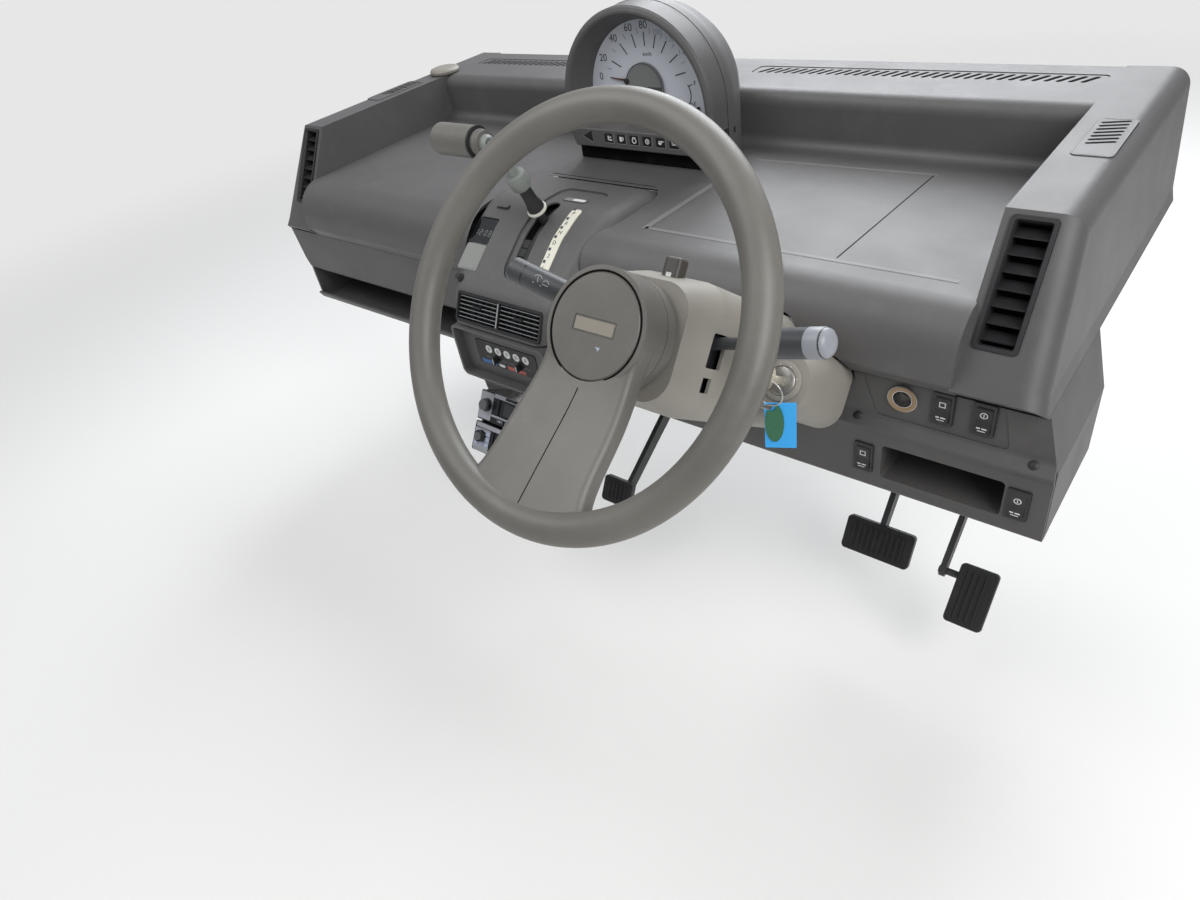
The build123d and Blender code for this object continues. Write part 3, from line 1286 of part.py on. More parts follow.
# Brackets of the pedals and of the gear lever, with their pins
# Name, left and right cheek, pivot
BRACKETS = [
    ("lever_bracket", GATE_X - 18, GATE_X + 18, LEVER_PIVOT),
    ("brake_bracket", BRAKE_X - 34, BRAKE_X + 34, BRAKE_PIVOT),
    ("accelerator_bracket", ACCELERATOR_X - 16, ACCELERATOR_X + 16, ACCELERATOR_PIVOT),
    ("parking_bracket", PARKING_X - 18, PARKING_X + 18, PARKING_PIVOT),
]
for name, left, right, pivot in BRACKETS:
    with BuildPart() as bracket:
        add(cheek(left, pivot, CHEEK))
        add(cheek(right, pivot, CHEEK))
        add(pivot_pin(left, right, pivot))
        with BuildSketch(Plane.XY.offset(-BEAM_RADIUS - 7)):
            with Locations(((left + right) / 2, BEAM_Y)):
                Rectangle(right - left, 20)
        extrude(amount=5)
        add(beam_core(), mode=Mode.SUBTRACT)
    finish_piece(bracket, name)


def link(first, first_radius, second, second_radius, x, thickness):
    """Flat bar from one round end to another, square to X."""
    with BuildPart() as bar:
        with BuildSketch(side_view(x - thickness / 2)):
            with BuildLine():
                CenterArc(first, first_radius, 0, 360)
                CenterArc(second, second_radius, 0, 360)
            make_hull()
        extrude(amount=thickness)
    return bar.part


def eye(x, half, pivot):
    """Sleeve that turns on a pivot pin."""
    with BuildPart() as sleeve:
        with BuildSketch(side_view(x - half)):
            with Locations(pivot):
                Circle(PIN_RADIUS + 5)
        extrude(amount=2 * half)
    return sleeve.part


def pin_bore(x, pivot):
    """Running bore for a pivot pin."""
    with BuildPart() as bore:
        with BuildSketch(side_view(x - 60)):
            with Locations(pivot):
                Circle(PIN_RADIUS + PIVOT_PLAY)
        extrude(amount=120)
    return bore.part


# Pedals
# Name, x of the arm, pivot, knee, foot of the arm, half of the eye, arm thickness,
# pad centre, pad width and length, pad lean from upright
PEDALS = [
    ("brake_pedal", BRAKE_X, BRAKE_PIVOT, (56, -190), (-34, -296), 30, 8,
     (BRAKE_X, -48, -300), 100, 52, 30),
    ("accelerator_pedal", ACCELERATOR_X, ACCELERATOR_PIVOT, (66, -200), (-48, -306), 12, 8,
     (ACCELERATOR_X + 46, -70, -315), 50, 84, 42),
    ("parking_pedal", PARKING_X, PARKING_PIVOT, (20, -186), (-140, -284), 14, 8,
     (80, -157, -291), 58, 44, 30),
]
for name, x, pivot, knee, foot, half, thickness, pad, width, length, lean in PEDALS:
    pad_plane = Plane(origin=pad, x_dir=(1, 0, 0), z_dir=(0, -cos(radians(lean)), sin(radians(lean))))
    with BuildPart() as pedal:
        add(link(pivot, 13, knee, 11, x, thickness))
        add(link(knee, 11, foot, 9, x, thickness))
        add(eye(x, half, pivot))
        add(pivot_pin(min(x, pad[0]) - 6, max(x, pad[0]) + 6, foot))
        with BuildSketch(pad_plane):
            RectangleRounded(width, length, 6)
        extrude(amount=-9)
        add(pin_bore(x, pivot), mode=Mode.SUBTRACT)
    finish_piece(pedal, name)

# Gear lever: eye, stem and elbow
stem_run = Vector(0, LEVER_ELBOW[0] - LEVER_PIVOT[0], LEVER_ELBOW[1] - LEVER_PIVOT[1])
stem_plane = Plane(origin=(GATE_X, *LEVER_PIVOT), x_dir=(1, 0, 0), z_dir=stem_run.normalized())
with BuildPart() as gear_lever:
    with BuildSketch(stem_plane):
        Circle(LEVER_RADIUS)
    extrude(amount=stem_run.length)
    add(eye(GATE_X, 12, LEVER_PIVOT))
    with BuildSketch(side_view(GATE_X)):
        with Locations(LEVER_ELBOW):
            Circle(LEVER_RADIUS)
    extrude(amount=-24)
    with Locations((GATE_X, *LEVER_ELBOW)):
        Sphere(LEVER_RADIUS + 2)
    add(pin_bore(GATE_X, LEVER_PIVOT), mode=Mode.SUBTRACT)
finish_piece(gear_lever, "gear_lever")

# Cover that slides under the gate with the lever
with BuildPart() as gate_cover:
    first, last = COVER_ANGLES
    with BuildSketch(side_view(GATE_X - COVER_WIDTH / 2)):
        with BuildLine():
            upper = CenterArc(LEVER_PIVOT, COVER_RADIUS, 90 + first, last - first)
            lower = CenterArc(LEVER_PIVOT, COVER_RADIUS - COVER_THICKNESS, 90 + first, last - first)
            Line(upper @ 0, lower @ 0)
            Line(upper @ 1, lower @ 1)
        make_face()
    extrude(amount=COVER_WIDTH)
    with BuildSketch(stem_plane):
        Circle(LEVER_RADIUS)
    extrude(amount=stem_run.length, mode=Mode.SUBTRACT)
finish_piece(gate_cover, "gate_cover")

with BuildPart() as gear_grip:
    with BuildSketch(side_view(GRIP_END_X)):
        with Locations(LEVER_ELBOW):
            Circle(GRIP_RADIUS)
    extrude(amount=78)
    fillet(gear_grip.edges().group_by(Axis.X)[0], radius=8)
    with BuildSketch(side_view(GRIP_END_X + 78)):
        with Locations(LEVER_ELBOW):
            Circle(GRIP_RADIUS - 5)
    extrude(amount=14)
    with BuildSketch(side_view(GATE_X)):
        with Locations(LEVER_ELBOW):
            Circle(LEVER_RADIUS)
    extrude(amount=-24, mode=Mode.SUBTRACT)
finish_piece(gear_grip, "gear_grip")
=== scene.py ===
import bpy
import bmesh
import json
from math import cos, pi, radians, sin
from mathutils import Matrix, Vector
from mathutils.bvhtree import BVHTree


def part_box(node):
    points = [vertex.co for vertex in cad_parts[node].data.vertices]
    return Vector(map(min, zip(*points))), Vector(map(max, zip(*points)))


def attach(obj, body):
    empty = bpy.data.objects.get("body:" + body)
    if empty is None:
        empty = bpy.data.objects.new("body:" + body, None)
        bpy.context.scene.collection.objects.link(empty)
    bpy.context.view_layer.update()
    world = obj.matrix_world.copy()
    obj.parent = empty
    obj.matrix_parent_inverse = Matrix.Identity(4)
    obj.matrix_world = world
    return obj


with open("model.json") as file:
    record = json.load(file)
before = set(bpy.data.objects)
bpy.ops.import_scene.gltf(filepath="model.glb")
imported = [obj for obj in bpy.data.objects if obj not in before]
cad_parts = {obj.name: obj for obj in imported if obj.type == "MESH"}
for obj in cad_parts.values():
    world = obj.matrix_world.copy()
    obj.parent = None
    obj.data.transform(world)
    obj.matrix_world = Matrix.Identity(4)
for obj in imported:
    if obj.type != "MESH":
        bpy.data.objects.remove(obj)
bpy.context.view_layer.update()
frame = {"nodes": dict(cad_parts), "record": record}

# Materials: one function for each kind of surface, all procedural
# Height of the moulded grain, in metres
GRAIN_DEPTH = 0.0004


def new_material(name):
    """Empty node material with a shader and an output."""
    material = bpy.data.materials.new(name)
    material.use_nodes = True
    nodes = material.node_tree.nodes
    nodes.clear()
    output = nodes.new("ShaderNodeOutputMaterial")
    shader = nodes.new("ShaderNodeBsdfPrincipled")
    material.node_tree.links.new(shader.outputs["BSDF"], output.inputs["Surface"])
    return material, nodes, material.node_tree.links, shader


def noise(nodes, links, scale, detail=3.0, roughness=0.55, stretch=(1, 1, 1)):
    """Noise in the object's own metres."""
    place = nodes.new("ShaderNodeTexCoord")
    mapping = nodes.new("ShaderNodeMapping")
    mapping.inputs["Scale"].default_value = stretch
    texture = nodes.new("ShaderNodeTexNoise")
    texture.inputs["Scale"].default_value = scale
    texture.inputs["Detail"].default_value = detail
    texture.inputs["Roughness"].default_value = roughness
    links.new(place.outputs["Object"], mapping.inputs["Vector"])
    links.new(mapping.outputs["Vector"], texture.inputs["Vector"])
    return texture.outputs["Fac"]


def ramp(nodes, links, source, low, high, first, second):
    """Colour ramp between two colours or two greys."""
    node = nodes.new("ShaderNodeValToRGB")
    for k, (position, shade) in enumerate(((low, first), (high, second))):
        element = node.color_ramp.elements[k]
        element.position = position
        element.color = (*shade, 1) if isinstance(shade, tuple) else (shade, shade, shade, 1)
    links.new(source, node.inputs["Fac"])
    return node.outputs["Color"]


def moulded_plastic(
    name, colour, roughness, grain=0.45, grain_scale=1500, mottle=0.07, dust=0.018, gloss_level=0.45
):
    """Grained plastic with a slow change of shade, dusty patches and a fine leather-like bump."""
    material, nodes, links, shader = new_material(name)
    shader.inputs["Specular IOR Level"].default_value = gloss_level
    dark = tuple(c * (1 - mottle) for c in colour)
    light = tuple(min(1, c * (1 + mottle)) for c in colour)
    shade = ramp(nodes, links, noise(nodes, links, 5.5, 4), 0.35, 0.68, dark, light)
    dusty = tuple(min(1, c + dust) for c in colour)
    patches = ramp(nodes, links, noise(nodes, links, 26, 6, 0.7), 0.52, 0.8, 0.0, 0.8)
    mix = nodes.new("ShaderNodeMix")
    mix.data_type = "RGBA"
    links.new(patches, mix.inputs["Factor"])
    links.new(shade, mix.inputs["A"])
    mix.inputs["B"].default_value = (*dusty, 1)
    links.new(mix.outputs["Result"], shader.inputs["Base Color"])
    rough = ramp(nodes, links, noise(nodes, links, 14, 4), 0.3, 0.7, roughness - 0.03, roughness + 0.04)
    links.new(rough, shader.inputs["Roughness"])
    bump = nodes.new("ShaderNodeBump")
    bump.inputs["Strength"].default_value = grain
    bump.inputs["Distance"].default_value = GRAIN_DEPTH
    links.new(noise(nodes, links, grain_scale, 2, 0.5), bump.inputs["Height"])
    links.new(bump.outputs["Normal"], shader.inputs["Normal"])
    return material


def gloss(name, colour, roughness=0.18, coat=0.0):
    """Smooth plastic or paint with faint smudges in its gloss."""
    material, nodes, links, shader = new_material(name)
    shader.inputs["Base Color"].default_value = (*colour, 1)
    shader.inputs["Coat Weight"].default_value = coat
    rough = ramp(nodes, links, noise(nodes, links, 40, 5, 0.65), 0.4, 0.75, roughness, roughness + 0.16)
    links.new(rough, shader.inputs["Roughness"])
    return material


def metal(name, colour, roughness, stretch=(1, 1, 1)):
    """Metal with fine brushed streaks."""
    material, nodes, links, shader = new_material(name)
    shader.inputs["Metallic"].default_value = 1.0
    streak = noise(nodes, links, 240, 3, 0.6, stretch)
    dark = tuple(c * 0.86 for c in colour)
    links.new(ramp(nodes, links, streak, 0.3, 0.7, dark, colour), shader.inputs["Base Color"])
    links.new(ramp(nodes, links, streak, 0.3, 0.7, roughness, roughness + 0.12), shader.inputs["Roughness"])
    return material


DASH = (0.08, 0.077, 0.076)
MATERIALS = {
    "dash_grey": moulded_plastic("dash_grey", DASH, 0.46),
    "panel_grey": moulded_plastic("panel_grey", (0.069, 0.066, 0.064), 0.5),
    "console_grey": moulded_plastic("console_grey", (0.084, 0.081, 0.079), 0.48),
    "black_plastic": moulded_plastic("black_plastic", (0.016, 0.016, 0.017), 0.5, 0.15),
    "black_gloss": gloss("black_gloss", (0.01, 0.01, 0.011)),
    "light_grey": moulded_plastic("light_grey", (0.2, 0.205, 0.19), 0.45),
    "cream_plastic": moulded_plastic("cream_plastic", (0.66, 0.64, 0.54), 0.35, 0.05),
    "wheel_beige": moulded_plastic("wheel_beige", (0.122, 0.115, 0.101), 0.42, 0.35, 1100, 0.14),
    "shroud_grey": moulded_plastic("shroud_grey", (0.245, 0.23, 0.2), 0.5, 0.3, 1300),
    # The dial's pale blue-grey is darker than its white: painted shade on the dial
    "dial_white": gloss("dial_white", (0.52, 0.54, 0.58), 0.45),
    "dial_grey": moulded_plastic("dial_grey", (0.16, 0.165, 0.16), 0.5, 0.1),
    "needle_red": gloss("needle_red", (0.09, 0.025, 0.018), 0.35),
    "tag_green": gloss("tag_green", (0.012, 0.11, 0.045), 0.2),
    "tag_blue": gloss("tag_blue", (0.02, 0.34, 0.75), 0.3),
    "chrome": metal("chrome", (0.72, 0.72, 0.73), 0.12),
    "bare_steel": metal("bare_steel", (0.55, 0.54, 0.52), 0.28),
    "zinc_steel": metal("zinc_steel", (0.24, 0.24, 0.23), 0.42),
    "black_paint": gloss("black_paint", (0.02, 0.02, 0.021), 0.4),
    "pedal_steel": gloss("pedal_steel", (0.03, 0.03, 0.031), 0.45),
    "print_dark": gloss("print_dark", (0.035, 0.04, 0.055), 0.5),
    "print_pale": gloss("print_pale", (0.3, 0.34, 0.4), 0.5),
    "print_white": gloss("print_white", (0.62, 0.63, 0.6), 0.45),
    "glass_dark": gloss("glass_dark", (0.006, 0.007, 0.008), 0.07, 0.6),
    "lcd_dark": gloss("lcd_dark", (0.02, 0.024, 0.022), 0.1, 0.5),
    "lcd_pale": gloss("lcd_pale", (0.16, 0.18, 0.17), 0.3),
    "collar_grey": moulded_plastic("collar_grey", (0.2, 0.215, 0.2), 0.42, 0.1),
    "ivory": moulded_plastic("ivory", (0.62, 0.6, 0.53), 0.35, 0.05),
    # Painted highlight on the vents' bright edges; also the print of the wiper stalk's symbols
    "highlight_and_print_grey": gloss("highlight_and_print_grey", (0.3, 0.31, 0.31), 0.3),
    # Near-black with little gloss: dark seams and gaps, and painted shade in grooves, slots and behind gaps
    "black_seam_and_shade": moulded_plastic("black_seam_and_shade", (0.006, 0.006, 0.006), 0.9, 0.6, 900, gloss_level=0.04),
    "bar_blue": gloss("bar_blue", (0.03, 0.12, 0.3), 0.4),
    "bar_red": gloss("bar_red", (0.35, 0.07, 0.05), 0.4),
    "face_silver": gloss("face_silver", (0.3, 0.31, 0.33), 0.3),
    "key_grey": moulded_plastic("key_grey", (0.1, 0.105, 0.11), 0.35, 0.05),
    "key_blue": gloss("key_blue", (0.36, 0.4, 0.5), 0.3),
    "stalk_cap": moulded_plastic("stalk_cap", (0.24, 0.25, 0.27), 0.35, 0.1),
    "switch_brown": moulded_plastic("switch_brown", (0.062, 0.055, 0.05), 0.4, 0.1),
    "lever_steel": metal("lever_steel", (0.16, 0.16, 0.165), 0.38),
    "lock_silver": metal("lock_silver", (0.4, 0.39, 0.36), 0.34),
    "key_brass": metal("key_brass", (0.78, 0.74, 0.64), 0.25),
    "stalk_slate": moulded_plastic("stalk_slate", (0.042, 0.045, 0.048), 0.4, 0.15),
    # Painted highlight: a lighter copy of the dash grey for the lit borders of the mat and the edges of the
    # demisters
    "painted_highlight_grey": moulded_plastic("painted_highlight_grey", (0.13, 0.127, 0.125), 0.5),
    "puck_beige": moulded_plastic("puck_beige", (0.2, 0.19, 0.16), 0.5, 0.2),
    "rubber": moulded_plastic("rubber", (0.012, 0.012, 0.012), 0.75, 0.4, 700),
    "badge_beige": gloss("badge_beige", (0.23, 0.21, 0.17), 0.35),
    "socket_tan": gloss("socket_tan", (0.25, 0.17, 0.09), 0.35),
}

for entry in frame["record"]["subparts"]:
    node = frame["nodes"][entry["node"]]
    node.data.materials.clear()
    node.data.materials.append(MATERIALS[entry["material_slot"]])
# Nodes whose look differs from that of their slot in the record
OWN_LOOKS = {
    "hazard_switch": "switch_brown",
    "key": "key_brass",
    "gear_lever": "lever_steel",
    "wiper_stalk": "stalk_slate",
    "indicator_stalk": "stalk_slate",
}
for name, slot in OWN_LOOKS.items():
    frame["nodes"][name].data.materials[0] = MATERIALS[slot]

# Camera at the photograph's place and angle
CAMERA_PLACE = Vector((0.7801, -0.8571, 0.5778))
CAMERA_YAW = radians(45.83)
CAMERA_PITCH = radians(38.08)
CAMERA_ROLL = radians(-11.25)
SENSOR_WIDTH = 36
FOCAL_SHARE = 0.6583

forward = Vector((
    -sin(CAMERA_YAW) * cos(CAMERA_PITCH),
    cos(CAMERA_YAW) * cos(CAMERA_PITCH),
    -sin(CAMERA_PITCH),
))
level = Vector((cos(CAMERA_YAW), sin(CAMERA_YAW), 0))
upright = level.cross(forward)
right = level * cos(CAMERA_ROLL) + upright * sin(CAMERA_ROLL)
up = upright * cos(CAMERA_ROLL) - level * sin(CAMERA_ROLL)
camera_data = bpy.data.cameras.new("camera")
camera_data.sensor_width = SENSOR_WIDTH
camera_data.lens = SENSOR_WIDTH * FOCAL_SHARE
camera_data.clip_start = 0.01
camera = bpy.data.objects.new("camera", camera_data)
camera.matrix_world = Matrix.Translation(CAMERA_PLACE) @ Matrix((right, up, -forward)).transposed().to_4x4()
bpy.context.scene.collection.objects.link(camera)
bpy.context.scene.camera = camera

# Pale floor below the pedals, and soft lights
BACKDROP = (0.8, 0.8, 0.8)
FADE_START = 1.3
FADE_END = 3.6
FLOOR_Z = -0.46
FLOOR_HALF = 60
FLOOR_CORNERS = ((-1, -1), (1, -1), (1, 1), (-1, 1))
floor_mesh = bpy.data.meshes.new("floor")
floor_points = [(x * FLOOR_HALF, y * FLOOR_HALF, FLOOR_Z) for x, y in FLOOR_CORNERS]
floor_mesh.from_pydata(floor_points, [], [(0, 1, 2, 3)])
floor = bpy.data.objects.new("floor", floor_mesh)
bpy.context.scene.collection.objects.link(floor)
floor_material, floor_nodes, floor_links, floor_shader = new_material("floor")
floor_shader.inputs["Base Color"].default_value = (0.72, 0.71, 0.69, 1)
floor_shader.inputs["Roughness"].default_value = 0.8


def fade_to_backdrop(near, far):
    """Let the floor run into the pale backdrop between two distances, for what the camera sees."""
    backdrop = floor_nodes.new("ShaderNodeEmission")
    backdrop.inputs["Color"].default_value = (*BACKDROP, 1)
    place = floor_nodes.new("ShaderNodeNewGeometry")
    distance = floor_nodes.new("ShaderNodeVectorMath")
    distance.operation = "LENGTH"
    share = floor_nodes.new("ShaderNodeMapRange")
    share.interpolation_type = "SMOOTHSTEP"
    share.inputs["From Min"].default_value = near
    share.inputs["From Max"].default_value = far
    path = floor_nodes.new("ShaderNodeLightPath")
    seen = floor_nodes.new("ShaderNodeMath")
    seen.operation = "MULTIPLY"
    mix = floor_nodes.new("ShaderNodeMixShader")
    output = next(node for node in floor_nodes if node.type == "OUTPUT_MATERIAL")
    floor_links.new(place.outputs["Position"], distance.inputs[0])
    floor_links.new(distance.outputs["Value"], share.inputs["Value"])
    floor_links.new(share.outputs["Result"], seen.inputs[0])
    floor_links.new(path.outputs["Is Camera Ray"], seen.inputs[1])
    floor_links.new(seen.outputs["Value"], mix.inputs["Fac"])
    floor_links.new(floor_shader.outputs["BSDF"], mix.inputs[1])
    floor_links.new(backdrop.outputs["Emission"], mix.inputs[2])
    floor_links.new(mix.outputs["Shader"], output.inputs["Surface"])


fade_to_backdrop(FADE_START, FADE_END)
floor_mesh.materials.append(floor_material)


def area_light(name, place, target, size, power, colour=(1, 1, 1)):
    """Square soft light aimed at a point."""
    data = bpy.data.lights.new(name, "AREA")
    data.size = size
    data.energy = power
    data.color = colour
    lamp = bpy.data.objects.new(name, data)
    lamp.location = place
    lamp.rotation_mode = "QUATERNION"
    lamp.rotation_quaternion = (Vector(target) - Vector(place)).to_track_quat("-Z", "Y")
    bpy.context.scene.collection.objects.link(lamp)
    return lamp


area_light("windscreen", (-0.3, 1.9, 1.7), (0, 0, 0.15), 2.0, 84, (0.94, 0.97, 1))
area_light("door", (2.1, -0.9, 1.5), (0.3, -0.1, 0.1), 1.4, 46)
area_light("roof", (-0.9, -1.1, 2.3), (0, 0, 0), 1.8, 34)

# World: a faint cool light on the object, and the backdrop for what the camera sees
SKY = (0.9, 0.93, 1)
SKY_STRENGTH = 0.42
world = bpy.data.worlds.new("studio")
world.use_nodes = True
world_nodes = world.node_tree.nodes
world_links = world.node_tree.links
sky = world_nodes["Background"]
sky.inputs["Color"].default_value = (*SKY, 1)
sky.inputs["Strength"].default_value = SKY_STRENGTH
seen_sky = world_nodes.new("ShaderNodeBackground")
seen_sky.inputs["Color"].default_value = (*BACKDROP, 1)
sky_path = world_nodes.new("ShaderNodeLightPath")
sky_mix = world_nodes.new("ShaderNodeMixShader")
world_links.new(sky_path.outputs["Is Camera Ray"], sky_mix.inputs["Fac"])
world_links.new(sky.outputs["Background"], sky_mix.inputs[1])
world_links.new(seen_sky.outputs["Background"], sky_mix.inputs[2])
world_links.new(sky_mix.outputs["Shader"], world_nodes["World Output"].inputs["Surface"])
bpy.context.scene.world = world
bpy.context.scene.view_settings.view_transform = "Standard"

# Places on the model, in millimetres as in the part's source
MM = 0.001
CONSOLE_X = -25
GATE_X = -20
LEVER_PIVOT = Vector((GATE_X, -9, -58))
LEVER_ELBOW = Vector((GATE_X, -157, 273))
COVER_RADIUS = 208
DIAL_Y = 150
DIAL_CENTRE = (0, 258)
TELLTALE_Y = 103
SHELF_Z = 150
LEDGE_Z = 227
HEATER_Y = -227
PANEL_Y = -137
WHEEL_CENTRE = Vector((347.4, -444.5, 254.1))
COLUMN_ANGLE = radians(37.5)
WHEEL_AXIS = Vector((0, -cos(COLUMN_ANGLE), sin(COLUMN_ANGLE)))
WHEEL_UP = Vector((0, sin(COLUMN_ANGLE), cos(COLUMN_ANGLE)))
ACROSS = Vector((1, 0, 0))


class Face:
    """Flat place on the model: its middle, the direction of its width and the way it faces."""

    def __init__(self, middle, across, facing):
        self.middle = Vector(middle)
        self.across = Vector(across).normalized()
        self.facing = Vector(facing).normalized()
        self.upward = self.facing.cross(self.across)

    def at(self, x, y, lift=0.0):
        """Point beside the middle, lifted off the face, in metres."""
        return (self.middle + self.across * x + self.upward * y + self.facing * lift) * MM


def upright_face(y):
    """Face of the model's front view, this far forward."""
    return Face((0, y, 0), ACROSS, (0, -1, 0))


def shelf_face(z):
    """Face of the model's plan view, at this height."""
    return Face((0, 0, z), ACROSS, (0, 0, 1))


def column_face(distance):
    """Face square to the steering column, this far behind the rim."""
    return Face(WHEEL_CENTRE - WHEEL_AXIS * distance, ACROSS, WHEEL_AXIS)


def console_face(x, along, first, second):
    """Face on a straight run of the console or a pod, this far down from the run's start."""
    run = Vector((0, second[0] - first[0], second[1] - first[1])).normalized()
    start = Vector((x, first[0], first[1]))
    return Face(start + run * along, ACROSS, (0, run.z, -run.y))


HITS = {}
ABOVE_Z = 300


def touching(node, start, direction):
    """Face where a line from this point first meets a CAD node."""
    if node not in HITS:
        shape = bmesh.new()
        shape.from_mesh(frame["nodes"][node].data)
        HITS[node] = BVHTree.FromBMesh(shape)
        shape.free()
    point, normal, _, _ = HITS[node].ray_cast(Vector(start) * MM, Vector(direction).normalized())
    across = ACROSS if abs(normal.x) < 0.9 else Vector((0, 1, 0))
    return Face(point / MM, across - normal * across.dot(normal), normal)


def from_above(node, x, y):
    """Face of a CAD node straight below a high point."""
    return touching(node, (x, y, ABOVE_Z), (0, 0, -1))


# Outlines, as lists of points
CORNER_STEPS = 5


def round_point(x, y, radius, angle):
    """Point at this distance and angle in degrees from a middle."""
    return x + radius * cos(radians(angle)), y + radius * sin(radians(angle))


def block(x, y, width, height, turn=0.0):
    """Rectangle round a middle, turned by an angle in degrees."""
    w, h = width / 2, height / 2
    return turned_about([(-w, -h), (w, -h), (w, h), (-w, h)], x, y, turn)


def turned_about(points, x, y, turn):
    """Points turned about the origin and moved to a middle."""
    c, s = cos(radians(turn)), sin(radians(turn))
    return [(x + c * px - s * py, y + s * px + c * py) for px, py in points]


def disc(x, y, radius, start=0, end=360, points=28):
    """Circle, or a part of one closed by its chord."""
    steps = points if end - start >= 360 else points + 1
    angles = [radians(start + (end - start) * k / points) for k in range(steps)]
    return [(x + radius * cos(a), y + radius * sin(a)) for a in angles]


def rounded(x, y, width, height, radius, turn=0.0):
    """Rectangle with round corners."""
    w, h = width / 2 - radius, height / 2 - radius
    points = []
    for cx, cy, first in ((w, h, 0), (-w, h, 90), (-w, -h, 180), (w, -h, 270)):
        for k in range(CORNER_STEPS + 1):
            points.append(round_point(cx, cy, radius, first + 90 / CORNER_STEPS * k))
    return turned_about(points, x, y, turn)


def arc_band(x, y, radius, width, start=0, end=360, points=28):
    """Quads that make a ring or a part of one."""
    quads = []
    for k in range(points):
        a = radians(start + (end - start) * k / points)
        b = radians(start + (end - start) * (k + 1) / points)
        inner, outer = radius - width / 2, radius + width / 2
        corners = ((inner, a), (outer, a), (outer, b), (inner, b))
        quads.append([(x + r * cos(t), y + r * sin(t)) for r, t in corners])
    return quads


# Makers of pieces: thickness of printing and of letters, and the angle from which edges stay sharp
PEN = 0.25
LETTER_DEPTH = 0.12
SHARP_ANGLE = radians(40)


def add_piece(name, shape, material, body, smooth=False):
    """Turn a bmesh into an object that rides on a body."""
    bmesh.ops.recalc_face_normals(shape, faces=shape.faces)
    mesh = bpy.data.meshes.new(name)
    shape.to_mesh(mesh)
    shape.free()
    mesh.materials.append(MATERIALS[material])
    if smooth:
        mesh.polygons.foreach_set("use_smooth", [True] * len(mesh.polygons))
    piece = bpy.data.objects.new(name, mesh)
    bpy.context.scene.collection.objects.link(piece)
    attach(piece, body)
    return piece


def add_plates(name, face, outlines, material, body="dashboard", lift=0.0, thickness=0.4):
    """Thin plates with these outlines, laid on a face."""
    shape = bmesh.new()
    for outline in outlines:
        low = [shape.verts.new(face.at(x, y, lift)) for x, y in outline]
        high = [shape.verts.new(face.at(x, y, lift + thickness)) for x, y in outline]
        shape.faces.new(low)
        shape.faces.new(high)
        for k, corner in enumerate(low):
            shape.faces.new((low[k - 1], corner, high[k], high[k - 1]))
    return add_piece(name, shape, material, body)


def add_words(name, face, words, material, body="dashboard", lift=0.1):
    """Flat letters and numbers: text, x, y, size and turn in degrees for each."""
    shape = bmesh.new()
    for text, x, y, size, turn in words:
        curve = bpy.data.curves.new(name, "FONT")
        curve.body = text
        curve.size = size
        curve.align_x = "CENTER"
        curve.align_y = "CENTER"
        curve.extrude = LETTER_DEPTH
        writer = bpy.data.objects.new(name, curve)
        flat = bpy.data.meshes.new_from_object(writer)
        for vertex in flat.vertices:
            (px, py), = turned_about([(vertex.co.x, vertex.co.y)], x, y, turn)
            vertex.co = face.at(px, py, lift + vertex.co.z)
        shape.from_mesh(flat)
        bpy.data.objects.remove(writer)
        bpy.data.curves.remove(curve)
        bpy.data.meshes.remove(flat)
    return add_piece(name, shape, material, body)


def add_turned(name, start, axis, profile, material, body="dashboard", segments=48, hollow=False):
    """Piece turned about an axis from a profile of distances along it and radii; a hollow one is a ring."""
    axis = Vector(axis).normalized()
    side = axis.orthogonal().normalized()
    other = axis.cross(side)
    shape = bmesh.new()
    rings = []
    for along, radius in profile:
        ring = []
        for k in range(segments):
            turn = 2 * pi * k / segments
            spoke = (side * cos(turn) + other * sin(turn)) * radius
            ring.append(shape.verts.new((Vector(start) + axis * along + spoke) * MM))
        rings.append(ring)
    following = rings[1:] + rings[:1] if hollow else rings[1:]
    for low, high in zip(rings, following):
        for k in range(segments):
            shape.faces.new((low[k - 1], low[k], high[k], high[k - 1]))
    if not hollow:
        shape.faces.new(rings[0])
        shape.faces.new(rings[-1])
    piece = add_piece(name, shape, material, body, smooth=True)
    piece.data.set_sharp_from_angle(angle=SHARP_ANGLE)
    return piece


def add_tube(name, points, radius, material, body="dashboard", closed=False):
    """Round strip along a line of points in millimetres."""
    curve = bpy.data.curves.new(name, "CURVE")
    curve.dimensions = "3D"
    curve.bevel_depth = radius * MM
    curve.bevel_resolution = 2
    line = curve.splines.new("POLY")
    line.points.add(len(points) - 1)
    for spot, point in zip(line.points, points):
        spot.co = (*(Vector(point) * MM), 1)
    line.use_cyclic_u = closed
    drawn = bpy.data.objects.new(name, curve)
    shape = bmesh.new()
    flat = bpy.data.meshes.new_from_object(drawn)
    shape.from_mesh(flat)
    bpy.data.objects.remove(drawn)
    bpy.data.curves.remove(curve)
    bpy.data.meshes.remove(flat)
    return add_piece(name, shape, material, body, smooth=True)


# Meter: the angle of each speed on the dial, the radii of marks and numbers, and which numbers
# are faint; the last speed has a mark only
DIAL_MARKS = {0: 174, 20: 154, 40: 129, 60: 107, 80: 89, 100: 72, 120: 56, 140: 36, 160: 15}
MARK_RADII = (53, 72)
SMALL_MARK_RADIUS = 74
NUMBER_RADIUS = 90
NUMBER_SQUASH = 0.9
FAINT_SHARE = 0.93
FIRST_FAINT = 5
FAINT_END = 8
FUEL_MIDDLE = (52, 246)
SEAM_RADIUS = 137.1
SEAM_Z = 236
SEAM_FOOT_Z = 176


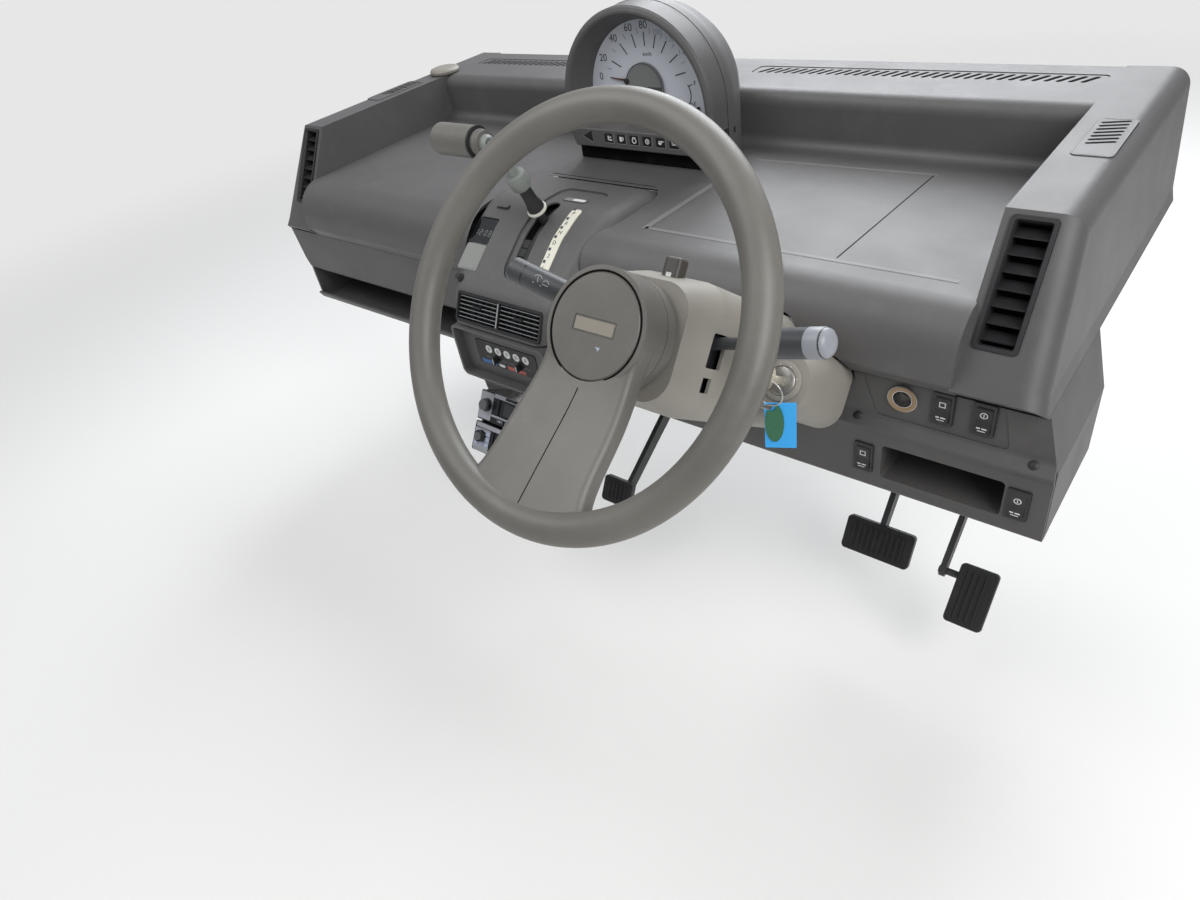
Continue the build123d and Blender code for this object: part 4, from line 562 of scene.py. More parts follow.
def add_dial_marks(face):
    """Long marks at the speeds and short ones between them."""
    inner, outer = MARK_RADII
    angles = list(DIAL_MARKS.values())
    marks = []
    for angle in angles:
        marks.append(block(*round_point(*DIAL_CENTRE, (inner + outer) / 2, angle), outer - inner, 1.7, angle))
    add_plates("dial_marks", face, marks, "print_dark", thickness=PEN)
    small = []
    for first, second in zip(angles, angles[1:]):
        angle = (first + second) / 2
        small.append(block(*round_point(*DIAL_CENTRE, SMALL_MARK_RADIUS, angle), 8, 1.4, angle))
    add_plates("dial_small_marks", face, small, "print_pale", thickness=PEN)


def add_dial_words(face):
    """Speeds, fainter ones on the right, the unit and the ends of the fuel gauge."""
    x, z = DIAL_CENTRE
    numbers = []
    for speed, angle in DIAL_MARKS.items():
        a = radians(angle)
        spot = (x + NUMBER_RADIUS * cos(a), z + NUMBER_RADIUS * sin(a) * NUMBER_SQUASH)
        numbers.append((str(speed), *spot, 15, 0))
    add_words("dial_numbers", face, numbers[:FIRST_FAINT], "print_dark")
    faint = []
    for text, across, height, _, turn in numbers[FIRST_FAINT:FAINT_END]:
        faint.append((text, across * FAINT_SHARE, z + (height - z) * FAINT_SHARE, 11, turn))
    add_words("dial_faint_numbers", face, faint, "print_pale")
    signs = [("km/h", 4, 300, 8, 0), ("F", 84, 262, 9, 0), ("E", 82, 233, 9, 0)]
    add_words("dial_unit", face, signs, "print_dark")
    gauge = arc_band(*FUEL_MIDDLE, 24, 1.6, -35, 35, 8)
    gauge += [block(76, 259, 7, 1.4, 30), block(76, 234, 7, 1.4, -30)]
    add_plates("fuel_marks", face, gauge, "print_dark", thickness=PEN)


def add_dial_parts():
    """Reset knob, counter window, the boss's edge and the needle's cap."""
    knob = [(0, 2.2), (14, 2.2), (14.1, 5), (21, 5), (22, 4)]
    add_turned("reset_knob", (88, DIAL_Y, 228), (0, -1, 0), knob, "black_plastic")
    boss = upright_face(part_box("dial_boss")[0][1] / MM)
    add_plates("counter_window", boss, [rounded(15, 247, 26, 17, 1.5)], "glass_dark", thickness=0.4)
    add_plates("boss_edge", boss, arc_band(-5, 255, 33.2, 1.2, 0, 180, 36), "print_dark", thickness=0.3)
    cap = [(0, 4), (2.5, 4), (3.2, 3)]
    add_turned("needle_boss", (-36, DIAL_Y - 5, 263), (0, -1, 0), cap, "black_plastic")


def add_hood_seam():
    """Arch of the seam between ring and hood, with the small clip on its right."""
    arch = [round_point(0, SEAM_Z, SEAM_RADIUS, angle) for angle in range(0, 181, 5)]
    line = [(SEAM_RADIUS, SEAM_FOOT_Z)] + arch + [(-SEAM_RADIUS, SEAM_FOOT_Z)]
    add_tube("hood_seam", [(x, DIAL_Y - 0.2, z) for x, z in line], 0.5, "black_plastic")
    clip = touching("meter_hood", (400, 166, 196), (-1, 0, 0))
    add_plates("hood_clip", clip, [rounded(0, 0, 3.5, 9, 1.5)], "black_plastic", thickness=1)


# Telltales: pitch, size and height of the windows, and the middle of their row
WINDOW_PITCH = 24.8
WINDOW_WIDTH = 17
WINDOW_HEIGHT = 14
WINDOW_COUNT = 6
WINDOW_ROW_X = 10.5
WINDOW_Z = 190.5


def telltale_symbols(middles):
    """Plain symbols of the six windows, from left to right."""
    a, b, c, d, e, f = middles
    z = WINDOW_Z
    symbols = [block(a - 1, z, 2.2, 7), block(a + 2.5, z - 2.6, 7, 2), block(a + 3, z + 1.5, 3, 2)]
    symbols += [block(b - 1, z, 5, 7), block(b + 3.5, z + 1, 1.4, 5)]
    symbols += arc_band(c, z - 0.5, 3.6, 1.5, 0, 360, 14) + [block(c, z + 4, 6, 1.3)]
    symbols += arc_band(d, z, 3.4, 1.3, 0, 360, 14) + [block(d, z, 1.3, 3.6)]
    symbols += [disc(e - 1, z + 0.5, 3.4, 180, 360, 10), block(e + 1, z + 2, 9, 1.6)]
    symbols += [block(f, z - 1, 8, 1.4), block(f - 3.4, z + 1, 1.4, 4.5), block(f + 3.4, z + 1, 1.4, 4.5)]
    symbols += [block(f, z + 3, 8, 1.2)]
    return symbols


def add_telltales():
    """Row of warning-light windows with plain symbols, and the turn arrows."""
    face = upright_face(TELLTALE_Y)
    first = (WINDOW_COUNT - 1) / 2
    middles = [(k - first) * WINDOW_PITCH + WINDOW_ROW_X for k in range(WINDOW_COUNT)]
    windows = [rounded(x, WINDOW_Z, WINDOW_WIDTH, WINDOW_HEIGHT, 1.5) for x in middles]
    add_plates("telltale_windows", face, windows, "glass_dark", thickness=0.5)
    frames = []
    for x in middles:
        frames.append(block(x, WINDOW_Z - 7.6, WINDOW_WIDTH + 1, 0.9))
        frames.append(block(x + WINDOW_WIDTH / 2 + 0.5, WINDOW_Z, 0.9, 15))
    add_plates("telltale_frames", face, frames, "light_grey", thickness=0.6)
    symbols = telltale_symbols(middles)
    add_plates("telltale_symbols", face, symbols, "print_white", lift=0.5, thickness=0.2)
    left = [(-104, WINDOW_Z), (-86, WINDOW_Z - 9), (-86, WINDOW_Z + 9)]
    right = [(105, WINDOW_Z), (96, WINDOW_Z + 7), (96, WINDOW_Z - 7)]
    add_plates("turn_arrows", face, [left, right], "black_gloss", thickness=0.4)
    edge = [(-104, WINDOW_Z), (-106, WINDOW_Z), (-85, WINDOW_Z - 10.5), (-85, WINDOW_Z - 9)]
    add_plates("turn_arrow_edge", face, [edge], "light_grey", thickness=0.5)


dial_face = upright_face(DIAL_Y)
add_dial_marks(dial_face)
add_dial_words(dial_face)
add_dial_parts()
add_hood_seam()
add_telltales()


# Gate and lever: letters beside the gate with their places, and the sheets that close the gate
STRIP_X = 29
GATE_LETTERS = {"P": -86, "R": -104, "N": -119, "D": -134, "2": -150, "L": -165}
SHEET = 0.0008
APRON_RADIUS = COVER_RADIUS - 2.2
APRON_ANGLES = range(84, 136, 3)
LINING_RADIUS = COVER_RADIUS + 6.5
LINING_ANGLES = (135.5, 139, 143, 147, 151)
PLATE_ANGLES = (123, 127, 131)


def on_cover(angle, radius):
    """Face on a cylinder round the lever's pivot, at this angle up from the front."""
    out = Vector((0, cos(radians(angle)), sin(radians(angle))))
    return Face(LEVER_PIVOT + out * radius, ACROSS, out)


def add_curved_sheet(name, angles, radius, sides, material, body):
    """Thin sheet bent round the lever's pivot, between two distances from the gate's middle."""
    shape = bmesh.new()
    rows = []
    for angle in angles:
        spot = on_cover(angle, radius).middle
        rows.append([shape.verts.new((spot + ACROSS * x) * MM) for x in sides])
    for first, second in zip(rows, rows[1:]):
        shape.faces.new((first[0], first[1], second[1], second[0]))
    sheet = add_piece(name, shape, material, body, smooth=True)
    solidify = sheet.modifiers.new("thickness", "SOLIDIFY")
    solidify.thickness = SHEET
    solidify.offset = -1


def add_gate():
    """Marks beside the gate, the plate above it and what shows in its slot."""
    for text, y in GATE_LETTERS.items():
        face = from_above("position_strip", STRIP_X, y)
        add_words("gate_letter_" + text, face, [(text, -2, 0, 8.5, 0)], "print_dark")
    for k, y in enumerate(GATE_LETTERS.values()):
        face = from_above("position_strip", STRIP_X, y + 8)
        add_plates("gate_mark_" + str(k), face, [block(-5.2, 0, 4.5, 4.5)], "print_dark", thickness=0.2)
    label = from_above("gate_bezel", 3, -52)
    add_plates("gate_label_edge", label, [rounded(0, 0, 44, 13, 5.5)], "black_plastic", thickness=0.5)
    add_plates("gate_label", label, [rounded(0, 0, 41, 10, 4.5)], "light_grey", lift=0.5, thickness=0.3)
    field = [rounded(7, 0, 22, 6.5, 2.5)]
    add_plates("gate_label_field", label, field, "print_white", lift=0.8, thickness=0.2)
    # Apron below the cover, so that the slot is closed from every side
    add_curved_sheet("gate_apron", APRON_ANGLES, APRON_RADIUS, (-66, 26), "black_plastic", "gear_selector")
    # Painted shade: fixed dark lining beyond the cover's reach, under the near end of the slot
    add_curved_sheet("gate_shade_lining", LINING_ANGLES, LINING_RADIUS, (-22, 22), "black_seam_and_shade", "dashboard")
    for k, angle in enumerate(PLATE_ANGLES):
        face = on_cover(angle, APRON_RADIUS)
        plate = [block(-32, 0, 28, 13)]
        add_plates("apron_plate_" + str(k), face, plate, "collar_grey", "gear_selector", thickness=0.5)


# Rings of the lever: distances from its pivot along the stem, and radii
LEVER_RINGS = {
    "collar": ("collar_grey", [(288, 9), (288.5, 13), (291, 14.3), (305, 14.8), (311, 13.6), (313, 8)]),
    "sleeve": ("black_plastic", [(247, 10.5), (247.5, 12.4), (252, 12.2), (262, 9.6), (289, 8.8)]),
    "ring": ("ivory", [(243, 12), (243.4, 14.6), (246.2, 14.8), (247, 12.5)]),
    "boot": ("black_plastic", [(198, 6.05), (198.5, 6.2), (236, 6.2), (237, 9), (243, 9)]),
    "neck": ("collar_grey", [(313, 6.2), (313.2, 7.6), (334, 7), (334.5, 6.1)]),
}
# Bands of the grip: place from its middle, and distances and radii
GRIP_BANDS = {
    "band": ("black_plastic", -55.5, [(0, 20), (0.2, 21.25), (2.6, 21.25), (2.8, 20)]),
    "step": ("wheel_beige", -50, [(0, 16), (0.3, 17.2), (4, 17.2), (5, 16)]),
    "button": ("collar_grey", -39.5, [(0, 10), (0.3, 11.4), (5, 11), (8, 8)]),
}


def add_lever():
    """Collar, sleeve and rings on the gear lever, and the bands of its grip."""
    run = (LEVER_ELBOW - LEVER_PIVOT).normalized()
    for name, (material, profile) in LEVER_RINGS.items():
        add_turned("lever_" + name, LEVER_PIVOT, run, profile, material, "gear_selector")
    grip_low, grip_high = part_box("gear_grip")
    middle = Vector((0, (grip_low[1] + grip_high[1]) / 2, (grip_low[2] + grip_high[2]) / 2)) / MM
    for name, (material, along, profile) in GRIP_BANDS.items():
        add_turned("grip_" + name, middle + ACROSS * along, ACROSS, profile, material, "gear_selector")


# Console: y and z at both ends of its straight runs, as in the part's source
FACE_RUNS = {
    "upper": ((-116.5, 144), (-155, 119.5)),
    "lower": ((-130, 139), (-211, 76)),
    "foot": ((-211, 76), (-235, 29.5)),
}
CLOCK = (-114, 23)
ASHTRAY = (-112, 53)
VENTS = (CONSOLE_X, 26)
VENT_ROWS = 6
BLADE_PITCH = 6
GROOVE = ((-153, 98), (-146, 110), (-136, 119), (-122, 126), (-104, 131), (-70, 136), (-20, 140))


def seven_segments(digit, x, y, height):
    """Bars of one figure of a clock."""
    w, h, t = height * 0.42, height / 2, height * 0.09
    spots = {"a": (0, h, w, t), "g": (0, 0, w, t), "d": (0, -h, w, t)}
    spots.update({"f": (-w / 2, h / 2, t, h * 0.8), "b": (w / 2, h / 2, t, h * 0.8)})
    spots.update({"e": (-w / 2, -h / 2, t, h * 0.8), "c": (w / 2, -h / 2, t, h * 0.8)})
    lit = {"0": "abcdef", "1": "bc", "2": "abged", "8": "abcdefg"}[digit]
    return [block(x + spots[s][0], y + spots[s][1], spots[s][2], spots[s][3]) for s in lit]


def add_console():
    """Clock figures, ashtray's lip, knob, button, painted highlights on the vents' edges and painted shade
    beside the console.
    """
    clock = console_face(CLOCK[0], CLOCK[1], *FACE_RUNS["upper"])
    figures = []
    for digit, x in zip("1208", (-13.5, -5, 5.5, 14)):
        figures += seven_segments(digit, x, -3, 9)
    figures += [block(0.3, -1.5, 0.9, 0.9), block(0.3, -5, 0.9, 0.9)]
    add_plates("clock_figures", clock, figures, "lcd_pale", lift=-1, thickness=0.15)
    add_plates("clock_window", clock, [rounded(0, 0, 38, 36, 2)], "glass_dark", lift=-1.1, thickness=0.12)
    ashtray = console_face(ASHTRAY[0], ASHTRAY[1], *FACE_RUNS["lower"])
    lip = [rounded(0, -17.5, 30, 2, 0.9)]
    add_plates("ashtray_lip", ashtray, lip, "collar_grey", lift=0.5, thickness=0.7)
    knob = from_above("console_face", -115.6, -199)
    profile = [(0, 6.5), (2, 6.5), (2.2, 5.4), (7, 5.2), (8, 4.2)]
    add_turned("console_knob", knob.middle, knob.facing, profile, "black_plastic")
    button = from_above("console_face", -102, -97.5)
    cap = [rounded(0, 0.5, 22, 5.5, 1.5)]
    add_plates("console_button_edge", button, [rounded(0, 0, 25, 9, 2)], "black_plastic", thickness=0.5)
    add_plates("console_button", button, cap, "console_grey", lift=0.5, thickness=2.2)
    vents = console_face(*VENTS, *FACE_RUNS["foot"])
    # Painted highlights: light strips along the blades' front edges and on the centre bar
    edges = []
    for row in range(VENT_ROWS):
        y = (row - (VENT_ROWS - 1) / 2) * BLADE_PITCH + 0.5
        edges += [block(-42.2, y, 76, 0.75), block(42.2, y, 76, 0.75)]
    add_plates("vent_blade_highlights", vents, edges, "highlight_and_print_grey", lift=-0.9, thickness=0.5)
    add_plates("vent_centre_bar", vents, [block(0, 0, 2.2, 35)], "highlight_and_print_grey", lift=1.5, thickness=0.3)
    tabs = [rounded(-42, 3.5, 15, 3.2, 1), rounded(42, 3.5, 15, 3.2, 1)]
    add_plates("vent_tabs", vents, tabs, "black_plastic", lift=-0.6, thickness=3)
    # Painted shade: dark tubes in the grooves beside the console, behind its rounded edges
    for side, name in ((-1, "left"), (1, "right")):
        points = []
        for y, z in GROOVE:
            half = 98 + (z - 20) * 38 / 155
            points.append(Vector((CONSOLE_X + side * (half + 3), y, z)))
        add_tube("console_groove_shade_" + name, points, 5.5, "black_seam_and_shade")


HEATER_ICONS = [-60, -41, -22, -3, 16]
ICON_Z = -9
LEVER_Z = -23
LEVER_XS = (CONSOLE_X - 22, CONSOLE_X + 26)
BAR_Z = -33


def add_heater():
    """Symbols and colour bars of the heater control."""
    face = upright_face(HEATER_Y)
    discs = [disc(x, ICON_Z, 6.6) for x in HEATER_ICONS]
    add_plates("heater_discs", face, discs, "print_white", thickness=0.3)
    figures = []
    for x in HEATER_ICONS:
        figures += [block(x - 1.5, ICON_Z, 1, 6), block(x + 1.5, ICON_Z - 1, 3, 1)]
        figures += [block(x + 1, ICON_Z + 2, 1, 2.4)]
    add_plates("heater_figures", face, figures, "print_dark", lift=0.3, thickness=0.15)
    slots = [rounded(x, LEVER_Z, 46, 3.4, 1.6) for x in LEVER_XS]
    add_plates("heater_slots", face, slots, "black_gloss", thickness=0.2)
    add_plates("heater_cold_bar", face, [rounded(-66, BAR_Z, 32, 6.5, 2)], "bar_blue", thickness=0.3)
    add_plates("heater_middle_bar", face, [rounded(-39, BAR_Z, 12, 5, 2)], "print_white", thickness=0.3)
    add_plates("heater_warm_bar", face, [rounded(-8, BAR_Z, 38, 6.5, 2)], "bar_red", thickness=0.3)
    for k, x in enumerate(LEVER_XS):
        tip = Face((x, HEATER_Y - 9, LEVER_Z), ACROSS, (0, -1, 0))
        add_plates("heater_lever_mark_" + str(k), tip, [block(0, 0, 1, 9)], "print_white", thickness=0.2)


RADIO_LEAN = radians(33.4)
RADIO_MIDDLE = Vector((CONSOLE_X, -233.5, -122))
UNIT_PITCH = 52
KEY_XS = [6 + (k - 2.5) * 17 for k in range(6)]
BUTTON_XS = (-81, -69, -57, 64, 76)
BUTTON_ZS = (8, -1, -10)


def add_radio():
    """Faces of the radio and of the unit below it."""
    facing = Vector((0, -cos(RADIO_LEAN), sin(RADIO_LEAN)))
    upward = facing.cross(ACROSS)
    top = Face(RADIO_MIDDLE, ACROSS, facing)
    low = Face(RADIO_MIDDLE - upward * UNIT_PITCH, ACROSS, facing)
    side_fields = [rounded(-74, 0, 28, 44, 2), rounded(75, 0, 26, 44, 2)]
    rails = [block(6, 20.5, 130, 6.5), block(6, -12.2, 130, 3)]
    add_plates("radio_face", top, side_fields + rails, "face_silver", thickness=0.6)
    add_plates("radio_slot", top, [rounded(12, 20.8, 92, 4.6, 1)], "black_gloss", lift=0.6, thickness=0.2)
    add_plates("radio_window", top, [rounded(8, 3, 88, 20, 1.5)], "lcd_dark", lift=-1.9, thickness=0.5)
    figures = []
    for digit, x in zip("108", (-6, 4, 14)):
        figures += seven_segments(digit, x, 3, 10)
    add_plates("radio_figures", top, figures, "lcd_pale", lift=-1.4, thickness=0.1)
    keys = [rounded(x, -17, 12.5, 4.6, 0.8) for x in KEY_XS]
    marks = [block(x, -17, 1.2, 2.4) for x in KEY_XS]
    add_plates("radio_keys", top, keys, "key_grey", lift=2, thickness=0.5)
    add_plates("radio_key_marks", top, marks, "print_white", lift=2.5, thickness=0.1)
    knob = top.middle + ACROSS * -71 + upward * 2
    profile = [(0.4, 11), (1.5, 11), (1.6, 9.2), (12, 8.6), (13, 7.6)]
    add_turned("radio_knob", knob, facing, profile, "key_grey")
    low_fields = [block(0, 19, 172, 7), rounded(-70, -3, 34, 34, 2)]
    low_fields += [rounded(71, -3, 32, 34, 2), block(0, -21, 172, 4)]
    add_plates("tuner_face", low, low_fields, "face_silver", thickness=0.6)
    add_plates("tuner_window", low, [rounded(14, 3, 78, 20, 1.5)], "lcd_dark", lift=-1.9, thickness=0.5)
    buttons = [rounded(x, z, 9, 6, 1) for x in BUTTON_XS for z in BUTTON_ZS]
    add_plates("tuner_buttons", low, buttons, "key_blue", lift=0.6, thickness=1.4)
    add_plates("tuner_keys", low, keys, "face_silver", lift=2, thickness=0.5)
    knob = low.middle + ACROSS * -71 + upward * 2
    add_turned("tuner_knob", knob, facing, [(2, 7), (11, 6.6), (12, 5.8)], "key_grey")


add_gate()
add_lever()
add_console()
add_heater()
add_radio()


# Wheel, column and stalks: distances behind the rim, radii round the column's axis, and for
# each stalk how far its tip lies to the side and up
PAD_DISTANCE = 38
PAD_GAP_RADIUS = 49.9
HUB_DISTANCE = 74
HUB_GAP_RADIUS = 54.3
STALK_TIPS = {"indicator_stalk": (181, 38), "wiper_stalk": (-202, 38)}
STALK_DISTANCE = 156
STALK_RADIUS = 14
WIPER_GROOVE_SHARE = 0.87
WIPER_SYMBOLS_SHARE = 0.745
LOCK_PLACE = (100, -5, 236)


def on_column(across, up, distance):
    """Point beside the column's axis, this far behind the rim, in millimetres."""
    return WHEEL_CENTRE + ACROSS * across + WHEEL_UP * up - WHEEL_AXIS * distance


def add_wheel():
    """Blank badge, the gap round the pad and the groove of the spoke."""
    pad = column_face(PAD_DISTANCE)
    outer = [rounded(0, 0, 46.5, 13.6, 1.6)]
    inner = [rounded(0, 0, 44, 11.2, 1.2)]
    add_plates("badge_frame", pad, outer, "wheel_beige", "steering", lift=-1, thickness=0.5)
    add_plates("badge_plate", pad, inner, "badge_beige", "steering", lift=-0.5, thickness=0.5)
    small = [[(7, -17), (13, -17), (11, -20.5)]]
    add_plates("horn_mark", pad, small, "print_pale", "steering", thickness=0.15)
    gap = [on_column(*round_point(0, 0, PAD_GAP_RADIUS, a), PAD_DISTANCE + 0.9) for a in range(0, 360, 5)]
    add_tube("pad_gap", gap, 0.9, "black_seam_and_shade", "steering", closed=True)
    step = [on_column(*round_point(0, 0, HUB_GAP_RADIUS, a), HUB_DISTANCE) for a in range(0, 360, 6)]
    add_tube("hub_gap", step, 0.8, "black_seam_and_shade", "steering", closed=True)
    groove = []
    for up in range(-56, -166, -6):
        start = WHEEL_CENTRE + WHEEL_UP * up + WHEEL_AXIS * 60 + ACROSS * 2
        groove.append(touching("wheel_rim", start, -WHEEL_AXIS).middle - WHEEL_AXIS * 0.1)
    add_tube("spoke_groove", groove, 0.55, "black_seam_and_shade", "steering")


def stalk_line(name):
    """Root, direction and length of a stalk."""
    reach, up = STALK_TIPS[name]
    side = 1 if reach > 0 else -1
    root = on_column(side * 20, 6, STALK_DISTANCE + 10)
    tip = on_column(reach, up, STALK_DISTANCE - 30)
    return root, (tip - root).normalized(), (tip - root).length


def add_stalks():
    """Caps, grooves and symbols of the stalks, and the marks of the hazard switch."""
    root, run, length = stalk_line("indicator_stalk")
    cap = [(-21, 13.8), (-20.5, 14.3), (-7, 14.15), (-3, 12.6), (-1, 10.4), (0.3, 7), (0.4, 2)]
    profile = [(length + beyond, radius) for beyond, radius in cap]
    add_turned("indicator_cap", root, run, profile, "stalk_cap")
    root, run, length = stalk_line("wiper_stalk")
    along = length * WIPER_GROOVE_SHARE
    profile = [(along, 13.9), (along + 0.2, 14.2), (along + 1.2, 14.2), (along + 1.4, 13.9)]
    add_turned("wiper_groove", root, run, profile, "black_gloss")
    # The symbols lie on the side that faces the driver's door
    toward = (CAMERA_PLACE / MM - root).normalized()
    top = (toward - run * toward.dot(run)).normalized()
    face = Face(root + run * length * WIPER_SYMBOLS_SHARE + top * STALK_RADIUS, -run, top)
    strokes = arc_band(-2, 0, 5.5, 0.9, 30, 150, 8) + [block(-2, 1, 0.9, 7, 20)]
    strokes += arc_band(9, -1, 4, 0.9, 20, 160, 8)
    strokes += [block(9, -2, 8, 0.8), block(4, -4.5, 2.2, 0.8), block(-6, -4, 2.2, 0.8)]
    add_plates("wiper_symbols", face, strokes, "highlight_and_print_grey", lift=0.2, thickness=0.3)
    low, high = (Vector(corner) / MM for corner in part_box("hazard_switch"))
    start = ((low.x + high.x) / 2, low.y + 1 - 40, (low.z + high.z) / 2 + 24)
    spot = touching("hazard_switch", start, (0, 0.83, -0.56))
    add_plates("hazard_mark", spot, [block(0, 0, 6, 6)], "print_white", thickness=0.25)


def add_lock():
    """Ring round the ignition lock and its printed marks."""
    start = on_column(*LOCK_PLACE)
    ring = [(-1, 16), (0.2, 21), (2.2, 21), (3.4, 18.4), (3.4, 15.6), (0.5, 15.6)]
    add_turned("lock_ring", start, WHEEL_AXIS, ring, "shroud_grey", hollow=True)
    disc_profile = [(2.9, 14.6), (3.4, 14.6), (4.2, 13.4), (4.3, 5)]
    add_turned("lock_face", start, WHEEL_AXIS, disc_profile, "lock_silver")
    face = Face(start + WHEEL_AXIS * 3.4, ACROSS, WHEEL_AXIS)
    marks = [block(*round_point(0, 0, 16.9, a), 1.6, 0.8, a) for a in (150, 110, 70, 20)]
    add_plates("lock_marks", face, marks, "print_white", thickness=0.2)


# Lower panels: x, z and y of each rocker switch, and x and z of each screw and of the socket
ROCKER_ROWS = [(571, 31, PANEL_Y), (613.5, 31, PANEL_Y), (491, -60, -146), (663.5, -60, -146)]
SCREW_PLACES = [(479, -6), (669, -6), (218, 38)]
SOCKET = (527.5, 31)
FIELD_SINK = 1.2
SQUARE_SYMBOL = [(0, 3, 7, 1), (-3, 0, 1, 5.5), (3, 0, 1, 5.5), (0, -3, 7, 1)]


def add_panels():
    """Edges and symbols of the switches, screws, and the socket's ring, floor and printed line."""
    for k, (x, z, y) in enumerate(ROCKER_ROWS):
        rim = Face((x, y - 2, z), ACROSS, (0, -1, 0))
        add_plates("rocker_edge_" + str(k), rim, [rounded(0, 0, 22.5, 40, 2)], "black_gloss", thickness=0.25)
        face = touching("rocker_switches", (x, y - 60, z + 7), (0, 1, 0))
        strokes = [block(*side) for side in SQUARE_SYMBOL]
        if k % 2:
            strokes = arc_band(0, 0, 3.6, 1, 0, 360, 12) + [block(0, 0, 1, 4)]
        add_plates("rocker_symbol_" + str(k), face, strokes, "print_white", lift=0.1, thickness=0.2)
        low = touching("rocker_switches", (x, y - 60, z - 9), (0, 1, 0))
        dashes = [block(-3.4, 0, 4, 1.3), block(2.6, 0, 5.2, 1.3), block(0, -3, 8, 0.8)]
        add_plates("rocker_words_" + str(k), low, dashes, "print_white", lift=0.1, thickness=0.2)
    for k, (x, z) in enumerate(SCREW_PLACES):
        spot = touching("driver_panel", (x, -400, z), (0, 1, 0))
        profile = [(0, 5.2), (1.2, 5), (2, 3.4), (2.3, 1.5)]
        add_turned("panel_screw_" + str(k), spot.middle, spot.facing, profile, "black_plastic", segments=24)
    x, z = SOCKET
    rim = (x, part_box("power_socket")[0][1] / MM, z)
    ring = [(-0.5, 12.6), (0.1, 16.2), (0.9, 15.8), (1.1, 12.4), (0.1, 11)]
    add_turned("socket_edge", rim, (0, -1, 0), ring, "socket_tan", hollow=True)
    contact = [(0, 10), (1.5, 10), (1.6, 3.5), (6, 3)]
    add_turned("socket_floor", (x, PANEL_Y + 33, z), (0, -1, 0), contact, "ivory")
    above = Face((x, PANEL_Y + FIELD_SINK, z + 21), ACROSS, (0, -1, 0))
    dashes = [block(-5, 0, 5, 1), block(4, 0, 8, 1)]
    add_plates("socket_number", above, dashes, "print_pale", thickness=0.15)


# Shelf's mat: x, y, width, depth and turn of its seam, of its raised borders drawn as painted highlights, and
# of their painted shadows
MAT_SEAM = (420, 56, 1.6, 258, -2.5)
MAT_BORDERS = [(151, 6, 9, 176, -2.6), (350, -79, 406, 6, 0), (298, 181, 262, 5, 2)]
MAT_SHADOWS = [(157.5, 6, 1.2, 176, -2.6), (350, -82.8, 406, 1.2, 0)]
# Side view of the dark linings, painted shade, inside the dash beside the console
LINING = [(54, 60), (54, 143), (-105, 143), (-130, 134), (-146, 118), (-152, 98), (-152, 60)]


def add_shelf():
    """Mat seams, painted highlights and shadows at its borders, dark linings as painted shade behind gaps and
    below the meter, and the ledge's puck.
    """
    top = shelf_face(SHELF_Z)
    add_plates("mat_seam", top, [block(*MAT_SEAM)], "black_seam_and_shade", thickness=0.15)
    # Painted highlights on the mat's raised borders, and painted shadows beside them
    add_plates("mat_border_highlight", top, [block(*run) for run in MAT_BORDERS], "painted_highlight_grey", thickness=0.3)
    add_plates("mat_shadow", top, [block(*run) for run in MAT_SHADOWS], "panel_grey", thickness=0.2)
    add_tube("console_top_seam", [(-106, 31.6, 150.3), (88, 31.6, 150.3)], 0.9, "black_seam_and_shade")
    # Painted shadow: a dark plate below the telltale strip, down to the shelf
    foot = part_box("telltale_strip")[0][2] / MM
    under = Face((0, 117.9, (SHELF_Z + foot) / 2), ACROSS, (0, -1, 0))
    strip = [block(0, 0, 252, foot - SHELF_Z - 0.4)]
    add_plates("meter_foot_painted_shadow", under, strip, "black_seam_and_shade", thickness=0.8)
    for side, name in ((-1, "left"), (1, "right")):
        inner = Face((CONSOLE_X + side * 140, 0, 0), (0, 1, 0), (1, 0, 0))
        add_plates("console_shade_lining_" + name, inner, [LINING], "black_seam_and_shade", thickness=1.5)
    # Painted shade: dark linings behind the gap above the driver's panel and at the column
    behind = upright_face(-96)
    add_plates("panel_shade_lining", behind, [block(430, 66, 440, 30)], "black_seam_and_shade", thickness=1)
    add_plates("column_shade_lining", upright_face(-116), [block(425, 18, 100, 84)], "black_seam_and_shade", thickness=1)
    # Round puck at the left end of the ledge
    spot = from_above("dash_shell", -600, 262)
    profile = [(0, 27), (2, 29.5), (6, 30), (9.5, 27.5), (11, 22), (11.6, 10)]
    add_turned("ledge_puck", spot.middle, (0, 0, 1), profile, "puck_beige")


# Slots of the grilles and demisters, as in the part's source
GRILLE = {"x": 321, "y": 345, "pitch": 14.5, "slots": 33, "size": (29.9, 6.9), "turn": 60}
DEMISTER = {"x": 617, "y": 157, "pitch": 11, "slots": 7, "size": (29.9, 5.4), "turn": 20}
EDGE_Y = 143


